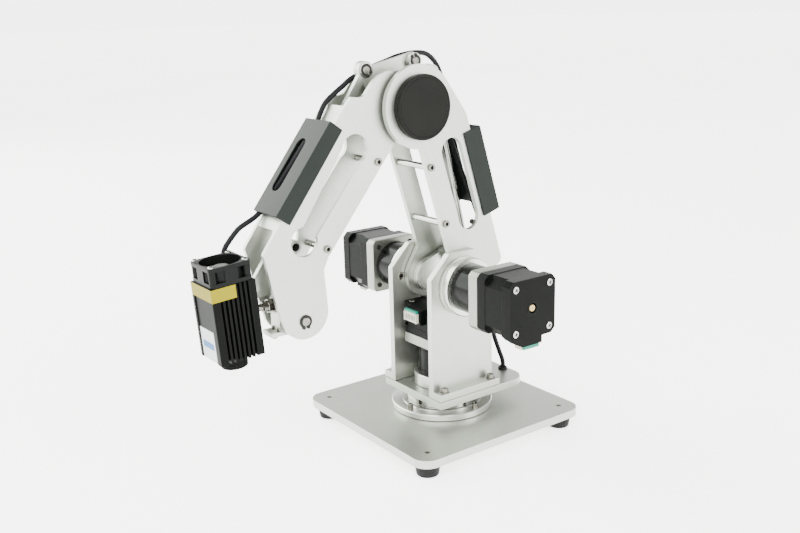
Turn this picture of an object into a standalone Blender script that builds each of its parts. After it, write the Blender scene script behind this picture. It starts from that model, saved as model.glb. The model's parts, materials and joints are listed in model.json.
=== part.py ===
"""Desktop three-axis parallelogram robot arm carrying a fan-cooled laser module.

All dimensions below are millimetres; MM turns them into metres when meshes are made.
Origin: yaw axis at the underside of the base plate. +X is the reach direction,
+Y is the robot's left side, +Z is up.
"""
import math

import bmesh
import bpy
from mathutils import Matrix, Vector

MM = 0.001
GAP = 0.3

# base
PLATE_SIDE = 154.0
PLATE_THICK = 6.0
PLATE_CORNER = 12.0
FOOT_PITCH = 64.0
SEAT_R = 40.0
FOOT_TOP_R = 9.5
FOOT_TIP_R = 8.0
FOOT_HEIGHT = 9.6
FLANGE_R = 39.1
FLANGE_TOP = 10.9
BEARING_R = 28.0
BEARING_BORE_R = 20.0
SPIGOT_R = 4.0

# turret
DECK_Z0 = 18.0
DECK_Z1 = 23.7
DECK_FRONT = 29.0
DECK_REAR = -58.0
DECK_HALF_Y = 35.5
DECK_REAR_CORNER = 14.0
BRACKET_HALF_X = 28.9
BRACKET_IN = 21.5
BRACKET_OUT = 26.5
BRACKET_TOP = 132.5
BRACKET_SHOULDER = 115.4
BRACKET_TOP_HALF = 12.0
FOOT_Z = 29.5
GLAND_X = -53.2
GLAND_Y = 12.0

# shoulder axis and lower arm
SHOULDER_Z = 107.0
ARM_LEAN = math.radians(16.7)
ELBOW_F = -8.0
ELBOW_A = 135.7
ARM_IN = 17.0
ARM_OUT = 21.0
ARM_BOSS_R = 17.8
ARM_FRONT = 0.3
ARM_REAR = -45.3
ARM_BOTTOM = -3.8
ELBOW_DISC_R = 29.2
WINDOW_F = -25.0
WINDOW_R = 9.3
WINDOW_A0 = 43.3
WINDOW_A1 = 96.2
ROUND_BORE = 6.2
SHAFT_R = 5.7
HUB_Y = 12.0
HUB_R = 14.0
ELBOW_SHAFT_R = 4.0
CAP_R = 22.6

# forearm
FORE_DROP = math.radians(50.8)
WRIST_P = 165.8
WRIST_Q = -12.0
WRIST_ROUND_P = 161.5
WRIST_ROUND_Q = -8.9
WRIST_R = 17.9
FORE_IN = 11.3
FORE_OUT = 14.3
FORE_BOSS_R = 25.6
HORN_EYE_R = 6.0
HORN_SPREAD = 32.0

# linkage, offsets in the XZ plane from the shoulder and elbow axes
FRONT_PIN = (30.0, 26.0)
REAR_PIN = (-12.0, 30.0)
HORN_PIN = (-33.5, 20.5)
PIN_R = 2.5
PIN_BORE = 2.8
CLIP_R = 3.7

# layers of the linkage along Y
LEVEL_Y0 = -6.5
LEVEL_Y1 = -3.5
LINK_Y0 = -3.2
LINK_Y1 = 0.4
PIN_END_Y = 1.4
ROD_Y0 = -10.8
ROD_Y1 = -7.4
ROD_R = 1.7
CRANK_Y0 = -15.2
CRANK_Y1 = -11.2

# geared motors
MOTOR_HALF = 21.15
RING_R = 22.0
YAW_RING_R = 21.0
GEARBOX_R = 18.0

# laser module
LASER_X = 176.6
LASER_Z = 113.2
LASER_PITCH = math.radians(4.0)
LASER_W = 31.6
LASER_D = 30.3
LASER_H = 51.9
FAN_SIDE = 29.6
FAN_H = 13.0
LENS_R = 9.0
BOLT_Z = 115.0
FACE_X0 = 139.0
FACE_X1 = 142.0
SHELF_Z = 94.0
TOOL_EYE_R = 4.6

LEAD_R = 1.8

SILVER = (0.86, 0.87, 0.86, 1.0)
POLISHED = (0.80, 0.80, 0.80, 1.0)
BLACK = (0.035, 0.038, 0.036, 1.0)
COVER_GREY = (0.11, 0.12, 0.11, 1.0)
RUBBER = (0.02, 0.02, 0.02, 1.0)
STEEL = (0.62, 0.62, 0.62, 1.0)

COLLECTION = "parallelogram_robot_arm"


def clear_scene():
    """Remove every object so the script always starts from nothing."""
    for obj in list(bpy.data.objects):
        bpy.data.objects.remove(obj, do_unlink=True)


def make_collections():
    """Create one collection for the parts and one for the cutters."""
    root = bpy.context.scene.collection
    parts = bpy.data.collections.new(COLLECTION)
    tools = bpy.data.collections.new("cutters")
    root.children.link(parts)
    root.children.link(tools)
    return parts, tools


def material(name, colour, metallic, roughness):
    """Return a Principled material for one part."""
    mat = bpy.data.materials.new(name)
    mat.use_nodes = True
    shader = mat.node_tree.nodes["Principled BSDF"]
    shader.inputs["Base Color"].default_value = colour
    shader.inputs["Metallic"].default_value = metallic
    shader.inputs["Roughness"].default_value = roughness
    mat.diffuse_color = colour
    return mat


def finish(obj, look):
    """Give a part its own material, smooth shading and its collection."""
    colour, metallic, roughness = look
    obj.data.materials.clear()
    obj.data.materials.append(material(obj.name + "_material", colour, metallic, roughness))
    obj.data.shade_smooth()
    obj.data.set_sharp_from_angle(angle=math.radians(32.0))
    return obj


def from_bmesh(name, mesh_data, collection):
    """Turn a bmesh in millimetres into an object in metres."""
    bmesh.ops.scale(mesh_data, vec=(MM, MM, MM), verts=mesh_data.verts)
    bmesh.ops.recalc_face_normals(mesh_data, faces=mesh_data.faces)
    mesh = bpy.data.meshes.new(name)
    mesh_data.to_mesh(mesh)
    mesh_data.free()
    obj = bpy.data.objects.new(name, mesh)
    collection.objects.link(obj)
    return obj


def axis_matrix(axis):
    """Rotation that carries local +Z onto the named direction."""
    turns = {
        "+z": Matrix.Identity(4),
        "-z": Matrix.Rotation(math.pi, 4, "X"),
        "+y": Matrix.Rotation(-math.pi / 2.0, 4, "X"),
        "-y": Matrix.Rotation(math.pi / 2.0, 4, "X"),
        "+x": Matrix.Rotation(math.pi / 2.0, 4, "Y"),
    }
    return turns[axis]


def round_bar(name, collection, start, axis, steps, segments=32):
    """Stepped round bar: a profile turned once about its axis.

    steps is a list of (distance along the axis, radius) from start outward.
    """
    shape = bmesh.new()
    profile = [(steps[0][0], 0.0)] + list(steps) + [(steps[-1][0], 0.0)]
    corners = [shape.verts.new((radius, 0.0, distance)) for distance, radius in profile]
    edges = [shape.edges.new(pair) for pair in zip(corners[:-1], corners[1:])]
    bmesh.ops.spin(
        shape, geom=corners + edges, cent=(0.0, 0.0, 0.0), axis=(0.0, 0.0, 1.0),
        angle=2.0 * math.pi, steps=segments, use_merge=True,
    )
    bmesh.ops.remove_doubles(shape, verts=shape.verts, dist=0.001)
    bmesh.ops.transform(
        shape, matrix=Matrix.Translation(start) @ axis_matrix(axis), verts=shape.verts
    )
    return from_bmesh(name, shape, collection)


def box(name, collection, low, high):
    """Axis-aligned box between two corners."""
    shape = bmesh.new()
    bmesh.ops.create_cube(shape, size=1.0)
    size = [high[i] - low[i] for i in range(3)]
    middle = [0.5 * (high[i] + low[i]) for i in range(3)]
    bmesh.ops.transform(
        shape,
        matrix=Matrix.Translation(middle) @ Matrix.Diagonal((*size, 1.0)),
        verts=shape.verts,
    )
    return from_bmesh(name, shape, collection)


def arc(centre, radius, start, end, steps):
    """Points of an arc in degrees, both ends included."""
    points = []
    for i in range(steps + 1):
        angle = math.radians(start + (end - start) * i / steps)
        points.append((centre[0] + radius * math.cos(angle), centre[1] + radius * math.sin(angle)))
    return points


def circle(centre, radius, steps=24):
    """Closed circle as a loop of points."""
    return arc(centre, radius, 0.0, 360.0, steps)[:-1]


def filled_curve(name, collection, loops, low, high, plane):
    """Flat sheet from closed loops (outline first, then holes), as a mesh.

    plane "xz" gives a plate whose thickness runs along Y from low to high;
    plane "xy" gives one whose thickness runs along Z.
    """
    curve = bpy.data.curves.new(name + "_outline", "CURVE")
    curve.dimensions = "2D"
    curve.fill_mode = "BOTH"
    curve.extrude = 0.5 * (high - low) * MM
    for loop in loops:
        spline = curve.splines.new("POLY")
        spline.points.add(len(loop) - 1)
        for point, (u, v) in zip(spline.points, loop):
            point.co = (u * MM, v * MM, 0.0, 1.0)
        spline.use_cyclic_u = True
    holder = bpy.data.objects.new(name + "_holder", curve)
    collection.objects.link(holder)
    graph = bpy.context.evaluated_depsgraph_get()
    sheet = bpy.data.meshes.new_from_object(holder.evaluated_get(graph))
    shape = bmesh.new()
    shape.from_mesh(sheet)
    bmesh.ops.remove_doubles(shape, verts=shape.verts, dist=0.00001)
    middle = 0.5 * (low + high) * MM
    if plane == "xz":
        turn = Matrix.Translation((0.0, middle, 0.0)) @ Matrix.Rotation(math.pi / 2.0, 4, "X")
    else:
        turn = Matrix.Translation((0.0, 0.0, middle))
    bmesh.ops.transform(shape, matrix=turn, verts=shape.verts)
    bmesh.ops.recalc_face_normals(shape, faces=shape.faces)
    mesh = bpy.data.meshes.new(name)
    shape.to_mesh(mesh)
    shape.free()
    bpy.data.objects.remove(holder, do_unlink=True)
    bpy.data.meshes.remove(sheet)
    bpy.data.curves.remove(curve)
    obj = bpy.data.objects.new(name, mesh)
    collection.objects.link(obj)
    return obj


def combine(target, tool, operation):
    """Add an exact Boolean whose tool is a hidden wire object."""
    tool.hide_render = True
    tool.display_type = "WIRE"
    modifier = target.modifiers.new(operation.lower() + "_" + tool.name, "BOOLEAN")
    modifier.operation = operation
    modifier.solver = "EXACT"
    modifier.object = tool
    return target


def add_bevel(obj, width, segments=1):
    """Chamfer or round the sharp edges of a part."""
    modifier = obj.modifiers.new("edge", "BEVEL")
    modifier.width = width * MM
    modifier.segments = segments
    modifier.limit_method = "ANGLE"
    modifier.angle_limit = math.radians(40.0)
    modifier.use_clamp_overlap = True
    return obj


def hull(points):
    """Convex hull of 2D points, counter-clockwise."""
    ordered = sorted(set(points))

    def half(sequence):
        chain = []
        for point in sequence:
            while len(chain) > 1:
                ax, ay = chain[-1][0] - chain[-2][0], chain[-1][1] - chain[-2][1]
                bx, by = point[0] - chain[-2][0], point[1] - chain[-2][1]
                if ax * by - ay * bx > 1e-9:
                    break
                chain.pop()
            chain.append(point)
        return chain[:-1]

    return half(ordered) + half(reversed(ordered))


def arm_point(forward, along):
    """Lower-arm plate coordinates to world (x, z)."""
    x = along * math.sin(ARM_LEAN) + forward * math.cos(ARM_LEAN)
    z = SHOULDER_Z + along * math.cos(ARM_LEAN) - forward * math.sin(ARM_LEAN)
    return (x, z)


def fore_point(along, up):
    """Forearm plate coordinates to world (x, z)."""
    x = ELBOW[0] + along * math.cos(FORE_DROP) + up * math.sin(FORE_DROP)
    z = ELBOW[1] - along * math.sin(FORE_DROP) + up * math.cos(FORE_DROP)
    return (x, z)


def shifted(base, offset):
    """World (x, z) of an offset from a pivot."""
    return (base[0] + offset[0], base[1] + offset[1])


SHOULDER = (0.0, SHOULDER_Z)
ELBOW = arm_point(ELBOW_F, ELBOW_A)
WRIST = fore_point(WRIST_P, WRIST_Q)
SILVER_SATIN = (SILVER, 0.9, 0.38)
SILVER_BRIGHT = (POLISHED, 1.0, 0.22)
BLACK_SATIN = (BLACK, 0.3, 0.42)
BLACK_MATT = (COVER_GREY, 0.1, 0.5)
RUBBER_LOOK = (RUBBER, 0.0, 0.8)
STEEL_LOOK = (STEEL, 1.0, 0.3)


def rounded_rectangle(x0, x1, y0, y1, radii, steps=6):
    """Rectangle with its own corner radius at each corner, from lower left, anticlockwise."""
    corners = [(x0, y0, 180.0), (x1, y0, 270.0), (x1, y1, 0.0), (x0, y1, 90.0)]
    inward = [(1, 1), (-1, 1), (-1, -1), (1, -1)]
    points = []
    for (x, y, angle), (sx, sy), radius in zip(corners, inward, radii):
        centre = (x + sx * radius, y + sy * radius)
        points.extend(arc(centre, radius, angle, angle + 90.0, steps))
    return points


def build_base(parts, tools):
    """Base plate, four rubber feet, screwed flange and yaw bearing."""
    half = 0.5 * PLATE_SIDE
    outline = rounded_rectangle(-half, half, -half, half, [PLATE_CORNER] * 4)
    loops = [outline]
    for sx in (-1, 1):
        for sy in (-1, 1):
            loops.append(circle((sx * FOOT_PITCH, sy * FOOT_PITCH), 2.2, 12))
    plate = filled_curve("base_plate", parts, loops, 0.0, PLATE_THICK, "xy")
    ring = [circle((0, 0), SEAT_R + 1.0, 48), circle((0, 0), SEAT_R - 1.0, 48)]
    combine(plate, filled_curve("seat_groove_tool", tools, ring, -1.0, 0.5, "xy"), "DIFFERENCE")
    finish(plate, SILVER_SATIN)
    spots = [(-1, -1), (1, -1), (1, 1), (-1, 1)]
    for number, (sx, sy) in enumerate(spots, start=1):
        foot = round_bar(
            f"foot_{number}",
            parts,
            (sx * FOOT_PITCH, sy * FOOT_PITCH, -GAP),
            "-z",
            [(0.0, FOOT_TOP_R), (FOOT_HEIGHT, FOOT_TIP_R)],
            24,
        )
        finish(foot, RUBBER_LOOK)
    seat = FLANGE_TOP - PLATE_THICK - GAP
    flange = round_bar(
        "base_flange", parts, (0, 0, PLATE_THICK + GAP), "+z",
        [(0.0, FLANGE_R), (seat, FLANGE_R), (seat, SPIGOT_R), (20.0, SPIGOT_R)], 64,
    )
    finish(flange, SILVER_SATIN)
    ring = [circle((0, 0), BEARING_R, 48), circle((0, 0), BEARING_BORE_R, 32)]
    bearing = filled_curve("yaw_bearing", parts, ring, FLANGE_TOP + GAP, DECK_Z0 - GAP, "xy")
    finish(bearing, BLACK_SATIN)


def build_turret(parts, tools):
    """Rotating deck, the two side brackets and the levelling anchor."""
    radii = [DECK_REAR_CORNER, 1.5, 1.5, DECK_REAR_CORNER]
    outline = rounded_rectangle(DECK_REAR, DECK_FRONT, -DECK_HALF_Y, DECK_HALF_Y, radii)
    loops = [outline, circle((0, 0), 10.0, 24), circle((GLAND_X, GLAND_Y), 2.6, 12)]
    finish(filled_curve("turret_plate", parts, loops, DECK_Z0, DECK_Z1, "xy"), SILVER_SATIN)
    for side, name in ((1, "bracket_left"), (-1, "bracket_right")):
        outline = [
            (-BRACKET_HALF_X, DECK_Z1 + GAP),
            (BRACKET_HALF_X, DECK_Z1 + GAP),
            (BRACKET_HALF_X, BRACKET_SHOULDER),
            (BRACKET_TOP_HALF, BRACKET_TOP),
            (-BRACKET_TOP_HALF, BRACKET_TOP),
            (-BRACKET_HALF_X, BRACKET_SHOULDER),
        ]
        low, high = sorted((side * BRACKET_IN, side * BRACKET_OUT))
        plate = filled_curve(name, parts, [outline, circle(SHOULDER, 9.0, 24)], low, high, "xz")
        low, high = sorted((side * (BRACKET_IN + 2.0), side * DECK_HALF_Y))
        foot = box(
            name + "_foot_tool", tools,
            (-BRACKET_HALF_X, low, DECK_Z1 + GAP), (BRACKET_HALF_X, high, FOOT_Z),
        )
        combine(plate, foot, "UNION")
        finish(plate, SILVER_SATIN)
    anchor_eye = shifted(SHOULDER, REAR_PIN)
    post = arc(anchor_eye, 6.0, -25.0, 165.0, 12)
    post += [(-28.6, 106.0), (-28.6, 76.0), (-22.6, 76.0), (-22.6, 100.0)]
    anchor = filled_curve("levelling_anchor", parts, [post], LEVEL_Y0, LEVEL_Y1, "xz")
    bar = box("anchor_bar_tool", tools, (-28.3, -21.2, 76.4), (-22.9, 21.2, 86.0))
    pin = clipped_pin("anchor_pin_tool", tools, anchor_eye, LEVEL_Y1 - 1.2)
    combine(anchor, bar, "UNION")
    combine(anchor, pin, "UNION")
    finish(anchor, SILVER_SATIN)
    gland = round_bar(
        "lead_gland", parts, (GLAND_X, GLAND_Y, DECK_Z1 + GAP), "+z", [(0.0, 3.8), (1.6, 3.4)], 24
    )
    bore = round_bar("gland_bore_tool", tools, (GLAND_X, GLAND_Y, 20.0), "+z", [(0.0, 2.2), (16.0, 2.2)], 16)
    combine(gland, bore, "DIFFERENCE")
    finish(gland, BLACK_SATIN)


def chamfered_square(half, cut):
    """Square outline with cut corners."""
    inner = half - cut
    return [
        (inner, -half), (half, -inner), (half, inner), (inner, half),
        (-inner, half), (-half, inner), (-half, -inner), (-inner, -half),
    ]


def placed(obj, frame):
    """Move mesh data by a millimetre frame."""
    shift = Matrix.Translation(frame.translation * MM) @ frame.to_3x3().to_4x4()
    obj.data.transform(shift)
    return obj


def build_geared_motor(parts, tools, prefix, frame, ring_r, lengths):
    """Ring flange, gearbox, square adapter and motor stacked along local +Z.

    lengths are ring, gearbox, adapter and motor lengths.
    """
    ring_len, gear_len, plate_len, motor_len = lengths
    base = 0.0
    ring = filled_curve(
        prefix + "_mounting_ring", parts,
        [circle((0, 0), ring_r, 48), circle((0, 0), 8.0, 24)], base, base + ring_len, "xy",
    )
    finish(placed(ring, frame), SILVER_BRIGHT)
    base += ring_len + GAP
    gear = round_bar(
        prefix + "_gearbox", parts, (0, 0, base), "+z", [(0.0, GEARBOX_R), (gear_len, GEARBOX_R)], 48
    )
    finish(placed(gear, frame), BLACK_SATIN)
    base += gear_len + GAP
    plate = filled_curve(
        prefix + "_adapter", parts, [chamfered_square(MOTOR_HALF, 3.0)], base, base + plate_len, "xy"
    )
    add_bevel(plate, 0.5)
    finish(placed(plate, frame), SILVER_SATIN)
    base += plate_len + GAP
    bell = motor_len * 0.24
    body = filled_curve(
        prefix + "_motor", parts, [chamfered_square(MOTOR_HALF - 0.4, 7.0)], base + 1.0,
        base + motor_len - 1.0, "xy",
    )
    front = filled_curve(
        prefix + "_front_bell_tool", tools, [chamfered_square(MOTOR_HALF, 3.6)], base, base + bell, "xy"
    )
    rear = filled_curve(
        prefix + "_rear_bell_tool", tools, [chamfered_square(MOTOR_HALF, 3.6)],
        base + motor_len - bell, base + motor_len, "xy",
    )
    low = base + motor_len - bell - 6.0
    top = base + motor_len
    tab = box(prefix + "_tab_tool", tools, (-9.0, -MOTOR_HALF - 5.2, low), (9.0, -MOTOR_HALF + 2.0, top))
    recess = round_bar(
        prefix + "_recess_tool", tools, (0, 0, base + motor_len - 2.5), "+z", [(0.0, 3.6), (4.0, 3.6)], 20
    )
    for tool in (front, rear, tab, recess):
        placed(tool, frame)
    placed(body, frame)
    for tool in (front, rear, tab):
        combine(body, tool, "UNION")
    combine(body, recess, "DIFFERENCE")
    finish(body, BLACK_SATIN)


def build_drives(parts, tools):
    """The yaw, shoulder and elbow geared motors."""
    side_lengths = (8.2, 22.6, 9.2, 33.2)
    # local -Y of a motor carries the connector: downward on the side motors, forward on the yaw motor
    quarter = math.radians(90.0)
    seat = BRACKET_OUT + GAP
    left = Matrix.Translation((0.0, seat, SHOULDER_Z)) @ Matrix.Rotation(-quarter, 4, "X")
    left = left @ Matrix.Rotation(math.radians(180.0), 4, "Z")
    right = Matrix.Translation((0.0, -seat, SHOULDER_Z)) @ Matrix.Rotation(quarter, 4, "X")
    upright = Matrix.Translation((0.0, 0.0, DECK_Z1 + GAP)) @ Matrix.Rotation(quarter, 4, "Z")
    build_geared_motor(parts, tools, "shoulder", left, RING_R, side_lengths)
    build_geared_motor(parts, tools, "elbow", right, RING_R, side_lengths)
    build_geared_motor(parts, tools, "yaw", upright, YAW_RING_R, (9.2, 22.4, 8.0, 23.3))


def arm_plate_outline():
    """Outline of a lower-arm side plate in (forward, along)."""
    points = arc((0.0, 0.0), ARM_BOSS_R, 192.3, 407.4, 26)
    points.append((ARM_FRONT, 23.9))
    points.extend(arc((ELBOW_F, ELBOW_A), ELBOW_DISC_R, -73.5, 160.4, 30))
    points.extend([(ARM_REAR + 1.4, 121.0), (ARM_REAR, 116.5)])
    points.extend(arc((ARM_REAR + 5.0, ARM_BOTTOM + 5.0), 5.0, 180.0, 270.0, 5))
    return [arm_point(f, a) for f, a in points]


def build_lower_arm(parts, tools):
    """Side plates, spacers, rear cover, elbow shaft and caps."""
    outline = arm_plate_outline()
    window = arc((WINDOW_F, WINDOW_A1), WINDOW_R, 0.0, 180.0, 10)
    window += arc((WINDOW_F, WINDOW_A0), WINDOW_R, 180.0, 360.0, 10)
    window = [arm_point(f, a) for f, a in window]
    for side, name in ((1, "lower_arm_plate_left"), (-1, "lower_arm_plate_right")):
        low, high = sorted((side * ARM_IN, side * ARM_OUT))
        loops = [outline, window, circle(SHOULDER, ROUND_BORE, 24)]
        finish(filled_curve(name, parts, loops, low, high, "xz"), SILVER_SATIN)
    for number, along in ((1, 47.8), (2, 92.2)):
        x, z = arm_point(-3.6, along)
        rod = round_bar(
            f"lower_arm_spacer_{number}", parts, (x, -ARM_IN + GAP, z), "+y",
            [(0.0, 2.4), (2.0 * (ARM_IN - GAP), 2.4)], 16,
        )
        finish(rod, STEEL_LOOK)
    shaft = round_bar(
        "elbow_shaft", parts, (ELBOW[0], -ARM_IN + GAP, ELBOW[1]), "+y",
        [(0.0, ELBOW_SHAFT_R), (2.0 * (ARM_IN - GAP), ELBOW_SHAFT_R)], 24,
    )
    finish(shaft, STEEL_LOOK)
    for side, axis, name in ((1, "+y", "elbow_cap_left"), (-1, "-y", "elbow_cap_right")):
        start = (ELBOW[0], side * (ARM_OUT + GAP), ELBOW[1])
        steps = [(0.0, CAP_R), (5.2, CAP_R)]
        cap = round_bar(name, parts, start, axis, steps, 48)
        add_bevel(cap, 1.2)
        finish(cap, BLACK_SATIN)
    hub_face = ARM_IN - GAP - HUB_Y
    hub = round_bar(
        "shoulder_hub", parts, (0.0, HUB_Y, SHOULDER_Z), "+y",
        [(0.0, HUB_R), (hub_face, HUB_R), (hub_face, SHAFT_R), (BRACKET_OUT - HUB_Y, SHAFT_R)], 32,
    )
    finish(hub, SILVER_BRIGHT)
    build_channel(
        parts, tools, "lower_arm_cover",
        [arm_point(-53.8, 38.0), arm_point(-38.0, 38.0), arm_point(-38.0, 104.0), arm_point(-53.8, 104.0)],
        [arm_point(-52.6, 30.0), arm_point(-30.0, 30.0), arm_point(-30.0, 112.0), arm_point(-52.6, 112.0)],
        ARM_OUT + GAP, 1.1,
    )


def build_channel(parts, tools, name, outer, inner, half_in, wall):
    """U-section cover: an outer prism less an inner one."""
    half_out = half_in + wall
    cover = filled_curve(name, parts, [outer], -half_out, half_out, "xz")
    hollow = filled_curve(name + "_hollow_tool", tools, [inner], -half_in, half_in, "xz")
    combine(cover, hollow, "DIFFERENCE")
    finish(cover, BLACK_MATT)
    return cover


def forearm_outline(with_horn):
    """Outline of a forearm side plate in (along, up), with the drive horn on the right plate."""
    points = [(25.7, -1.3), (121.0, -1.7), (130.0, -3.8)]
    points.extend(arc((WRIST_ROUND_P, WRIST_ROUND_Q), WRIST_R, -132.0, 28.0, 22))
    points.extend([(166.9, 14.6), (146.6, 39.6), (145.2, 41.6), (143.4, 42.4)])
    points.extend([(44.8, 46.9), (32.3, 46.9), (25.0, 46.7), (23.4, 44.1)])
    points.extend([(21.7, 41.5), (19.7, 39.4), (17.2, 38.6), (14.0, 38.7)])
    points.extend([(6.1, 38.5), (1.0, 37.3), (-3.9, 34.5), (-6.6, 31.9)])
    if not with_horn:
        points.extend(arc((0.0, 0.0), FORE_BOSS_R, 128.0, 357.0, 30))
        return points
    dx, dz = HORN_PIN
    horn = (
        dx * math.cos(FORE_DROP) - dz * math.sin(FORE_DROP),
        dx * math.sin(FORE_DROP) + dz * math.cos(FORE_DROP),
    )
    toward = math.degrees(math.atan2(horn[1], horn[0])) % 360.0
    points.extend(arc((0.0, 0.0), FORE_BOSS_R, 128.0, toward - HORN_SPREAD, 6))
    points.extend(arc(horn, HORN_EYE_R, toward - 85.0, toward + 85.0, 10))
    points.extend(arc((0.0, 0.0), FORE_BOSS_R, toward + HORN_SPREAD, 357.0, 16))
    return points


def forearm_slot():
    """Dumb-bell window of a forearm plate in (along, up)."""
    points = arc((122.0, 20.7), 10.3, 139.0, -143.0, 18)
    points.extend(arc((50.8, 23.7), 10.2, -65.0, -301.0, 16))
    return points[::-1]


def build_forearm(parts, tools):
    """Side plates, spine, cover, spacers, bearings and wrist pin."""
    slot = [fore_point(p, q) for p, q in forearm_slot()]
    horn = shifted(ELBOW, HORN_PIN)
    for side, name in ((1, "forearm_plate_left"), (-1, "forearm_plate_right")):
        low, high = sorted((side * FORE_IN, side * FORE_OUT))
        outline = [fore_point(p, q) for p, q in forearm_outline(side < 0)]
        loops = [outline, slot, circle(ELBOW, ELBOW_SHAFT_R + GAP, 24), circle(WRIST, 3.3, 20)]
        plate = filled_curve(name, parts, loops, low, high, "xz")
        if side < 0:
            stud = round_bar(
                "horn_stud_tool", tools, (horn[0], -FORE_IN - 1.0, horn[1]), "+y",
                [(0.0, PIN_R), (FORE_IN + 1.0 + ROD_Y1 + GAP, PIN_R)], 16,
            )
            combine(plate, stud, "UNION")
        finish(plate, SILVER_SATIN)
        bearing_low, bearing_high = sorted((side * (FORE_OUT + GAP), side * (ARM_IN - GAP)))
        ring = [circle(ELBOW, 12.0, 32), circle(ELBOW, ELBOW_SHAFT_R + GAP, 24)]
        bearing = filled_curve(
            "elbow_bearing_left" if side > 0 else "elbow_bearing_right", parts, ring,
            bearing_low, bearing_high, "xz",
        )
        finish(bearing, SILVER_BRIGHT)
    for number, place in ((1, (47.5, 2.8)), (2, (117.0, 2.4))):
        x, z = fore_point(*place)
        rod = round_bar(
            f"forearm_spacer_{number}", parts, (x, -FORE_IN + GAP, z), "+y",
            [(0.0, 2.4), (2.0 * (FORE_IN - GAP), 2.4)], 16,
        )
        finish(rod, STEEL_LOOK)
    spine = [fore_point(p, q) for p, q in ((32.0, 45.3), (127.0, 41.4), (127.0, 42.9), (32.0, 46.8))]
    finish(filled_curve("forearm_spine", parts, [spine], -FORE_IN + GAP, FORE_IN - GAP, "xz"), SILVER_SATIN)
    build_channel(
        parts, tools, "forearm_cover",
        [fore_point(46.4, 40.0), fore_point(118.8, 37.3), fore_point(119.5, 49.5), fore_point(47.0, 51.5)],
        [fore_point(36.0, 30.0), fore_point(130.0, 26.0), fore_point(130.0, 48.1), fore_point(36.0, 50.7)],
        FORE_OUT + GAP, 1.1,
    )
    half = FORE_OUT + 1.5
    inner, outer = half - FORE_OUT - 0.9, half - FORE_OUT - 0.2
    steps = [(0.0, 3.0), (inner, 3.0), (inner, 4.4), (outer, 4.4), (outer, 3.0)]
    steps += [(2.0 * half - distance, radius) for distance, radius in reversed(steps)]
    pin = round_bar("wrist_pin", parts, (WRIST[0], -half, WRIST[1]), "+y", steps, 20)
    finish(pin, STEEL_LOOK)


def clipped_profile(length):
    """Profile of a pivot pin with a circlip just inside its far end."""
    return [
        (0.0, PIN_R), (length - 0.6, PIN_R), (length - 0.6, CLIP_R),
        (length - 0.2, CLIP_R), (length - 0.2, PIN_R), (length, PIN_R),
    ]


def clipped_pin(name, coll, place, low):
    """Pivot pin along Y from low to the common pin end."""
    profile = clipped_profile(PIN_END_Y - low)
    return round_bar(name, coll, (place[0], low, place[1]), "+y", profile, 16)


def build_link(parts, name, first, second, radii, half_width):
    """Flat link with a round bored eye at each end, radii in the order of the ends."""
    dx, dz = second[0] - first[0], second[1] - first[1]
    tilt = math.degrees(math.atan2(dz, dx))
    spread = [math.degrees(math.asin(half_width / radius)) for radius in radii]
    outline = arc(first, radii[0], tilt + spread[0], tilt + 360.0 - spread[0], 16)
    outline += arc(second, radii[1], tilt + 180.0 + spread[1], tilt + 540.0 - spread[1], 16)
    loops = [outline, circle(first, PIN_BORE, 16), circle(second, PIN_BORE, 16)]
    finish(filled_curve(name, parts, loops, LINK_Y0, LINK_Y1, "xz"), SILVER_SATIN)


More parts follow.
